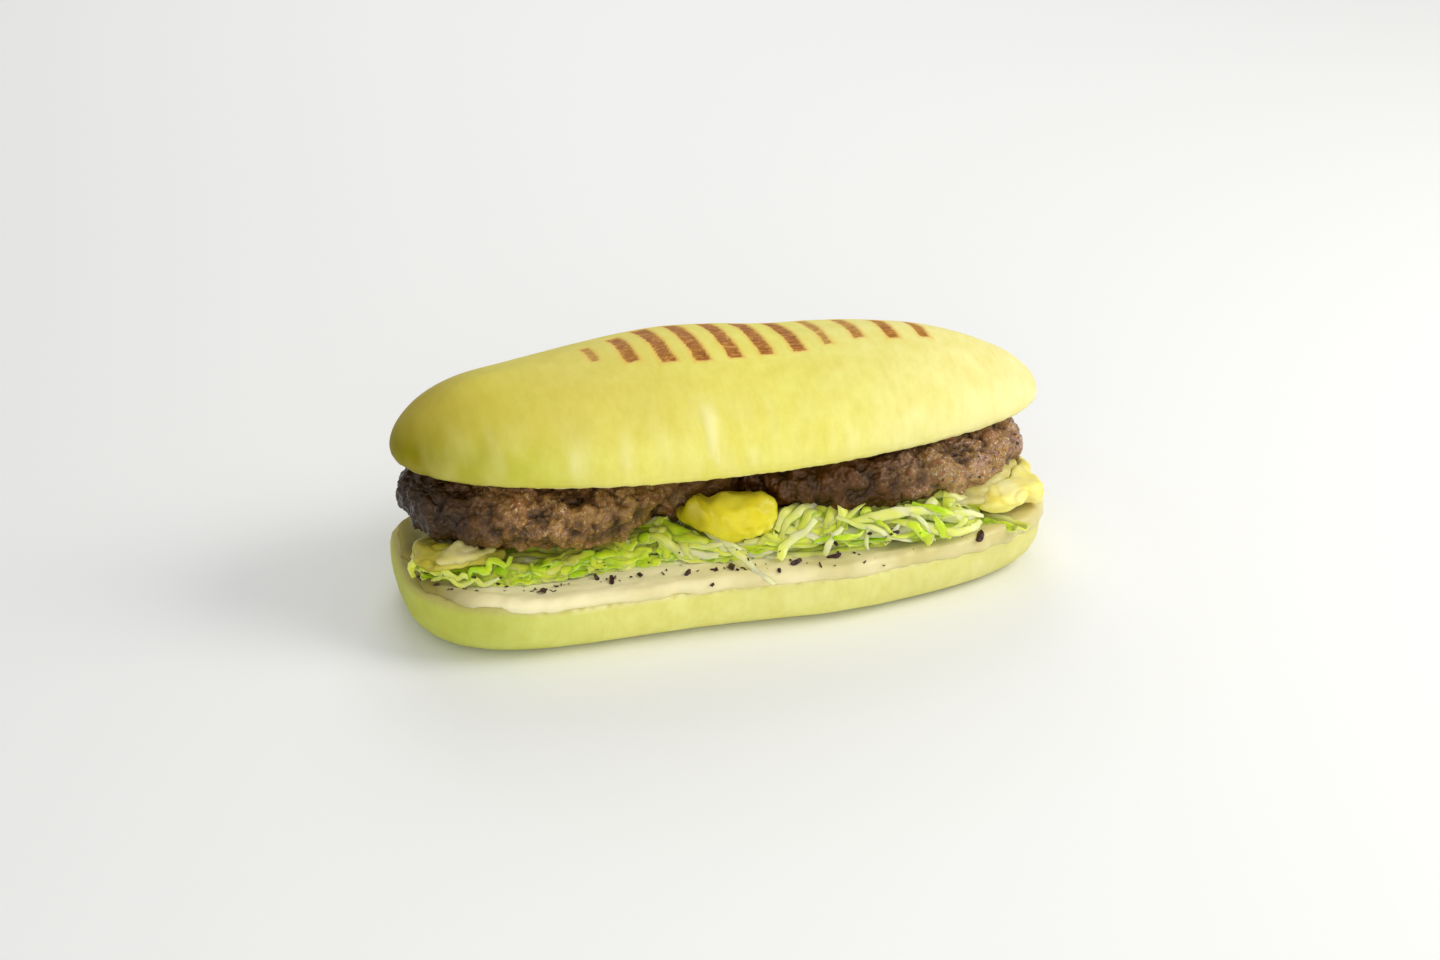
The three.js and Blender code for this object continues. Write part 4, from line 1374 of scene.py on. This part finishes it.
# %% The tree that turns paths into ribbons
ribbon_tree = bpy.data.node_groups.new("ribbon", "GeometryNodeTree")
given = sockets(ribbon_tree, {
    "Geometry": ("NodeSocketGeometry", None),
    "Step": ("NodeSocketFloat", 1.3),
    "Thickness": ("NodeSocketFloat", 0.06),
    "Arch": ("NodeSocketFloat", 0.25),
    "Flutter": ("NodeSocketFloat", 1.3),
    "Crumple": ("NodeSocketFloat", 1.1),
    "Crumple Size": ("NodeSocketFloat", 6.0),
    "Material": ("NodeSocketMaterial", None),
})
paths = add(ribbon_tree, "GeometryNodeMeshToCurve", links={"Mesh": given.outputs["Geometry"]})
rounded = add(ribbon_tree, "GeometryNodeCurveSplineType", {"spline_type": "CATMULL_ROM"}, {"Curve": paths})
fine_paths = add(ribbon_tree, "GeometryNodeResampleCurve", {"mode": "LENGTH"},
                 {"Curve": rounded, "Length": given.outputs["Step"]})
at = add(ribbon_tree, "GeometryNodeInputPosition")
flutter = add(ribbon_tree, "ShaderNodeTexNoise", {"Scale": 1 / 6.0, "Detail": 1.0}, {"Vector": at})
flutter_centred = add(ribbon_tree, "ShaderNodeVectorMath", {"operation": "SUBTRACT", 1: MID_NOISE},
                      {0: flutter.outputs["Color"]})
flutter_size = add(ribbon_tree, "ShaderNodeVectorMath", {"operation": "SCALE"},
                   {0: flutter_centred, "Scale": given.outputs["Flutter"]})
loose = add(ribbon_tree, "GeometryNodeSetPosition",
            links={"Geometry": fine_paths, "Offset": flutter_size})
turn_number = add(ribbon_tree, "GeometryNodeInputNamedAttribute", {"data_type": "FLOAT", "Name": "turn"})
tilted = add(ribbon_tree, "GeometryNodeSetCurveTilt",
             links={"Curve": loose, "Tilt": turn_number})
upright = add(ribbon_tree, "GeometryNodeSetCurveNormal", {"mode": "Z_UP"}, {"Curve": tilted})
section = add(ribbon_tree, "GeometryNodeCurvePrimitiveCircle", {"Resolution": 12, "Radius": 1.0})
section_at = add(ribbon_tree, "GeometryNodeInputPosition")
section_parts = add(ribbon_tree, "ShaderNodeSeparateXYZ", links={0: section_at})
section_square = add(ribbon_tree, "ShaderNodeMath", {"operation": "MULTIPLY"},
                     {0: section_parts.outputs["X"], 1: section_parts.outputs["X"]})
section_arch = add(ribbon_tree, "ShaderNodeMath", {"operation": "MULTIPLY"},
                   {0: section_square, 1: given.outputs["Arch"]})
section_height = add(ribbon_tree, "ShaderNodeMath", {"operation": "MULTIPLY_ADD"},
                     {0: section_parts.outputs["Y"], 1: given.outputs["Thickness"], 2: section_arch})
section_flat = add(ribbon_tree, "ShaderNodeCombineXYZ",
                   links={"X": section_parts.outputs["X"], "Y": section_height})
section_edge = add(ribbon_tree, "GeometryNodeStoreNamedAttribute", {"data_type": "FLOAT", "Name": "edge"},
                   {"Geometry": section, "Value": section_square})
section_shape = add(ribbon_tree, "GeometryNodeSetPosition",
                    links={"Geometry": section_edge, "Position": section_flat})
width_number = add(ribbon_tree, "GeometryNodeInputNamedAttribute", {"data_type": "FLOAT", "Name": "width"})
ribbons = add(ribbon_tree, "GeometryNodeCurveToMesh", {"Fill Caps": True},
              {"Curve": upright, "Profile Curve": section_shape,
               "Scale": width_number})
crumple_scale = add(ribbon_tree, "ShaderNodeMath", {"operation": "DIVIDE", 0: 1.0},
                    {1: given.outputs["Crumple Size"]})
crumple = add(ribbon_tree, "ShaderNodeTexNoise", {"Detail": 2.0},
              {"Vector": at, "Scale": crumple_scale})
crumple_centred = add(ribbon_tree, "ShaderNodeVectorMath", {"operation": "SUBTRACT", 1: MID_NOISE},
                      {0: crumple.outputs["Color"]})
# The edges of a strip are ruffled more than its middle
edge_number = add(ribbon_tree, "GeometryNodeInputNamedAttribute", {"data_type": "FLOAT", "Name": "edge"})
ruffle = add(ribbon_tree, "ShaderNodeMath", {"operation": "MULTIPLY_ADD", 1: 1.2, 2: 0.6},
             {0: edge_number})
ruffle_size = add(ribbon_tree, "ShaderNodeMath", {"operation": "MULTIPLY"},
                  {0: ruffle, 1: given.outputs["Crumple"]})
crumple_size = add(ribbon_tree, "ShaderNodeVectorMath", {"operation": "SCALE"},
                   {0: crumple_centred, "Scale": ruffle_size})
crumpled = add(ribbon_tree, "GeometryNodeSetPosition",
               links={"Geometry": ribbons, "Offset": crumple_size})
ribbon_smooth = add(ribbon_tree, "GeometryNodeSetShadeSmooth", links={0: crumpled})
end_tree(ribbon_tree, given, ribbon_smooth)


# %% Lettuce material
def lettuce_material():
    """Cut iceberg lettuce: watery white ribs and pale to bright green leaf."""
    material, tree = new_material("iceberg")
    where = add(tree, "ShaderNodeTexCoord").outputs["Object"]
    # Each strip's tint, with patches of half a centimetre that are greener or paler
    tint = add(tree, "ShaderNodeAttribute", {"attribute_name": "tint"})
    patch = add(tree, "ShaderNodeTexNoise", {"Scale": PER_MM / 4.5, "Detail": 3.0}, {"Vector": where})
    both = add(tree, "ShaderNodeMath", {"operation": "ADD"},
               {0: patch.outputs["Fac"], 1: tint.outputs["Fac"]})
    level = add(tree, "ShaderNodeMath", {"operation": "ADD", 1: -0.5}, {0: both})
    greens = add(tree, "ShaderNodeValToRGB", links={"Fac": level}, stops=(
        (0, "a4da18"), (0.2, "c8f02a"), (0.4, "dcf640"), (0.6, "eafa58"), (0.8, "f0fa7c"), (1, "f6faae"),
    ))
    # Painted light: the edges of each strip are paler, as if lit through the thin leaf
    edge = add(tree, "ShaderNodeAttribute", {"attribute_name": "edge"})
    edge_part = add(tree, "ShaderNodeMapRange", {"From Min": 0.55, "From Max": 1.0, "To Max": 0.5},
                    {"Value": edge.outputs["Fac"]})
    edged = add(tree, "ShaderNodeMix", {"data_type": "RGBA", 7: rgb("eef6a8")},
                {0: edge_part, 6: greens.outputs["Color"]})
    veins = add(tree, "ShaderNodeTexNoise", {"Scale": PER_MM / 1.5, "Detail": 3.0}, {"Vector": where})
    bump = add(tree, "ShaderNodeBump", {"Strength": 0.3, "Distance": 0.0003},
               {"Height": veins.outputs["Fac"]})
    shader = add(tree, "ShaderNodeBsdfPrincipled", {
        "IOR": 1.36, "Roughness": 0.26, "Subsurface Weight": 0.6,
        "Subsurface Radius": (0.0012, 0.0014, 0.0005), "Subsurface Scale": 1.0,
    }, {"Base Color": edged.outputs[2], "Normal": bump})
    add(tree, "ShaderNodeOutputMaterial", links={"Surface": shader})
    return material


# %% The heap of strips
iceberg = lettuce_material()


def cut_lettuce(patches, own, ragged, seed, sizes):
    """All strips of one kind as one mesh. Ragged is how much a strip's width changes from point to point.

    A strip that runs to the left leans the other way round its path.
    """
    points = []
    edges = []
    notes = {"width": [], "tint": [], "turn": []}
    rng = random.Random(seed)
    for path, half_width, tint_, lean, twist in strips(patches, own, rng):
        first = len(points)
        side = np.sign(path[-1][0] - path[0][0]) or 1
        for i, p in enumerate(path):
            t = i / (len(path) - 1)
            full = 0.35 + 0.65 * math.sin(math.pi * (0.04 + 0.92 * t)) ** 0.4
            points.append(p)
            notes["width"].append(half_width * full * rng.uniform(1 - ragged, 1 + ragged))
            notes["tint"].append(tint_ + 0.35 * (t - 0.5))
            notes["turn"].append(side * lean + twist * (t - 0.5))
        edges += [(first + i, first + i + 1) for i in range(len(path) - 1)]
    mesh = new_mesh("lettuce_paths", points, edges)
    for name, values in notes.items():
        note(mesh, name, values)
    return run_tree(mesh, ribbon_tree, {"Material": iceberg, **sizes})


put("lettuce_core", lettuce_core(iceberg), "lettuce", "lettuce_bed")
ribs = put("lettuce_ribs", cut_lettuce(RIB_PATCHES, OWN_RIBS, 0.12, 31, {}), "lettuce")
leaves = put("lettuce_leaves", cut_lettuce(LEAF_PATCHES, OWN_LEAVES, 0.3, 57, {
    "Step": 0.9, "Thickness": 0.06, "Arch": 0.3, "Crumple": 1.6, "Crumple Size": 3.4,
}), "lettuce")

# %% [markdown]
# ## The flakes
#
# Sumac, a dark red-brown dried berry, is crushed into crisp chips of half a millimetre to four and strewn
# on the sauce. They repeat over a surface, so Geometry Nodes set them on points. A few large ones lie where
# the photo shows them, and a seeded handful of small ones fills in between.

# %% Places of the flakes
# Millimetres along and across the roll, and the flake's length
LARGE_FLAKES = [
    (-43.2, -33.4, 3.8), (-34.2, -32.4, 2.8), (-20.2, -35.2, 3.0), (-11.9, -35.6, 2.4),
    (-6.5, -35.0, 4.2), (-23.0, -42.0, 1.8), (-14.4, -41.6, 2.6), (24.9, -38.0, 4.6),
    (26.5, -34.5, 3.4), (12.7, -38.4, 4.4), (6.4, -41.5, 2.4), (19.3, -41.8, 1.8),
    (36.7, -36.2, 2.4), (44.4, -36.4, 3.6), (72.3, -37.6, 4.4), (91.5, -32.0, 2.6),
    (-97.5, -15.5, 3.0), (-93.9, -22.0, 2.2), (-96.9, -8.7, 3.4), (-64.1, -33.8, 3.2),
    (-59.7, -31.9, 2.0), (-47.1, -30.5, 2.6),
]
# How many small ones lie between them, how long they are and how far in front of the heap
SMALL_FLAKES = 90
SMALL_LENGTHS = (0.5, 1.5)
SMALL_PLACES = (-8, 0)


# %% Sumac material
def dried_sumac():
    """Dried sumac: dark red-brown and dull, with a crumpled skin that catches the light in points."""
    material, tree = new_material("sumac")
    where = add(tree, "ShaderNodeTexCoord").outputs["Object"]
    crumples = add(tree, "ShaderNodeTexNoise", {"Scale": PER_MM / 1.2, "Detail": 2.0}, {"Vector": where})
    tones = add(tree, "ShaderNodeValToRGB", links={"Fac": crumples.outputs["Fac"]},
                stops=((0.35, "1c0e0a"), (0.7, "4e2018")))
    bump = add(tree, "ShaderNodeBump", {"Strength": 0.6, "Distance": 0.0003},
               {"Height": crumples.outputs["Fac"]})
    shader = add(tree, "ShaderNodeBsdfPrincipled", {"Roughness": 0.5, "IOR": 1.5},
                 {"Base Color": tones.outputs["Color"], "Normal": bump})
    add(tree, "ShaderNodeOutputMaterial", links={"Surface": shader})
    return material


# %% The tree that sets flakes on points
flake_tree = bpy.data.node_groups.new("flakes", "GeometryNodeTree")
given = sockets(flake_tree, {
    "Geometry": ("NodeSocketGeometry", None),
    "Flatness": ("NodeSocketFloat", 0.22),
    "Crumple": ("NodeSocketFloat", 1.2),
    "Seed": ("NodeSocketInt", 3),
    "Material": ("NodeSocketMaterial", None),
})
ball = add(flake_tree, "GeometryNodeMeshIcoSphere", {"Radius": 0.5, "Subdivisions": 2})
size_number = add(flake_tree, "GeometryNodeInputNamedAttribute", {"data_type": "FLOAT", "Name": "size"})
turned = add(flake_tree, "FunctionNodeRandomValue",
             {"data_type": "FLOAT_VECTOR", 0: (-0.5, -0.5, 0.0), 1: (0.5, 0.5, 6.28)},
             {"Seed": given.outputs["Seed"]})
stretched = add(flake_tree, "FunctionNodeRandomValue",
                {"data_type": "FLOAT_VECTOR", 0: (0.9, 0.25, 0.7), 1: (1.1, 0.55, 1.3)},
                {"Seed": given.outputs["Seed"]})
flat_vector = add(flake_tree, "ShaderNodeCombineXYZ", {"X": 1.0, "Y": 1.0}, {"Z": given.outputs["Flatness"]})
shape_scale = add(flake_tree, "ShaderNodeVectorMath", {"operation": "MULTIPLY"},
                  {0: stretched, 1: flat_vector})
full_scale = add(flake_tree, "ShaderNodeVectorMath", {"operation": "SCALE"},
                 {0: shape_scale, "Scale": size_number})
set_down = add(flake_tree, "GeometryNodeInstanceOnPoints",
               links={"Points": given.outputs["Geometry"], "Instance": ball,
                      "Rotation": turned, "Scale": full_scale})
chips = add(flake_tree, "GeometryNodeRealizeInstances", links={0: set_down})
# Crumpling comes after realizing, so that each chip gets a shape of its own
chip_at = add(flake_tree, "GeometryNodeInputPosition")
crumple = add(flake_tree, "ShaderNodeTexNoise", {"Scale": 1 / 0.7, "Detail": 2.0}, {"Vector": chip_at})
crumple_centred = add(flake_tree, "ShaderNodeVectorMath", {"operation": "SUBTRACT", 1: MID_NOISE},
                      {0: crumple.outputs["Color"]})
crumple_share = add(flake_tree, "ShaderNodeMath", {"operation": "MULTIPLY"},
                    {0: given.outputs["Crumple"], 1: size_number})
crumple_limit = add(flake_tree, "ShaderNodeMath", {"operation": "MINIMUM", 1: 1.8}, {0: crumple_share})
crumple_size = add(flake_tree, "ShaderNodeVectorMath", {"operation": "SCALE"},
                   {0: crumple_centred, "Scale": crumple_limit})
crumpled = add(flake_tree, "GeometryNodeSetPosition", links={"Geometry": chips, "Offset": crumple_size})
end_tree(flake_tree, given, crumpled)


# %% The flakes on the sauce
# A crumpled flake comes out shorter than the ball it is made of
CRUMPLE_LOSS = 1.15


def height_below(pieces, x, y, start):
    """Height in millimetres of the highest of some pieces at a place, below a starting height."""
    origin = Vector(to_frame([x, y, start]))
    heights = []
    for piece in pieces:
        found, hit_point, _, _ = piece.ray_cast(origin, Vector((0, 0, -1)))
        if found:
            heights.append((hit_point.z - HOME[2]) / MM)
    return max(heights, default=None)


def flakes():
    """Large flakes at their own places and small ones in between."""
    rng = random.Random(19)
    spots = list(LARGE_FLAKES)
    for _ in range(SMALL_FLAKES):
        x = rng.uniform(-95, 92)
        spots.append((x, front_edge(x) + rng.uniform(*SMALL_PLACES), rng.uniform(*SMALL_LENGTHS)))
    points = []
    sizes = []
    for x, y, size in spots:
        z = height_below((sesame_layer, ribs, leaves), x, y, SAUCE_FLOOR + 9)
        if z is not None:
            points.append((x, y, z + 0.1 * size))
            sizes.append(CRUMPLE_LOSS * size)
    mesh = new_mesh("flake_spots", points)
    note(mesh, "size", sizes)
    return run_tree(mesh, flake_tree, {"Material": dried_sumac()})


put("sumac_flakes", flakes(), "sauce")
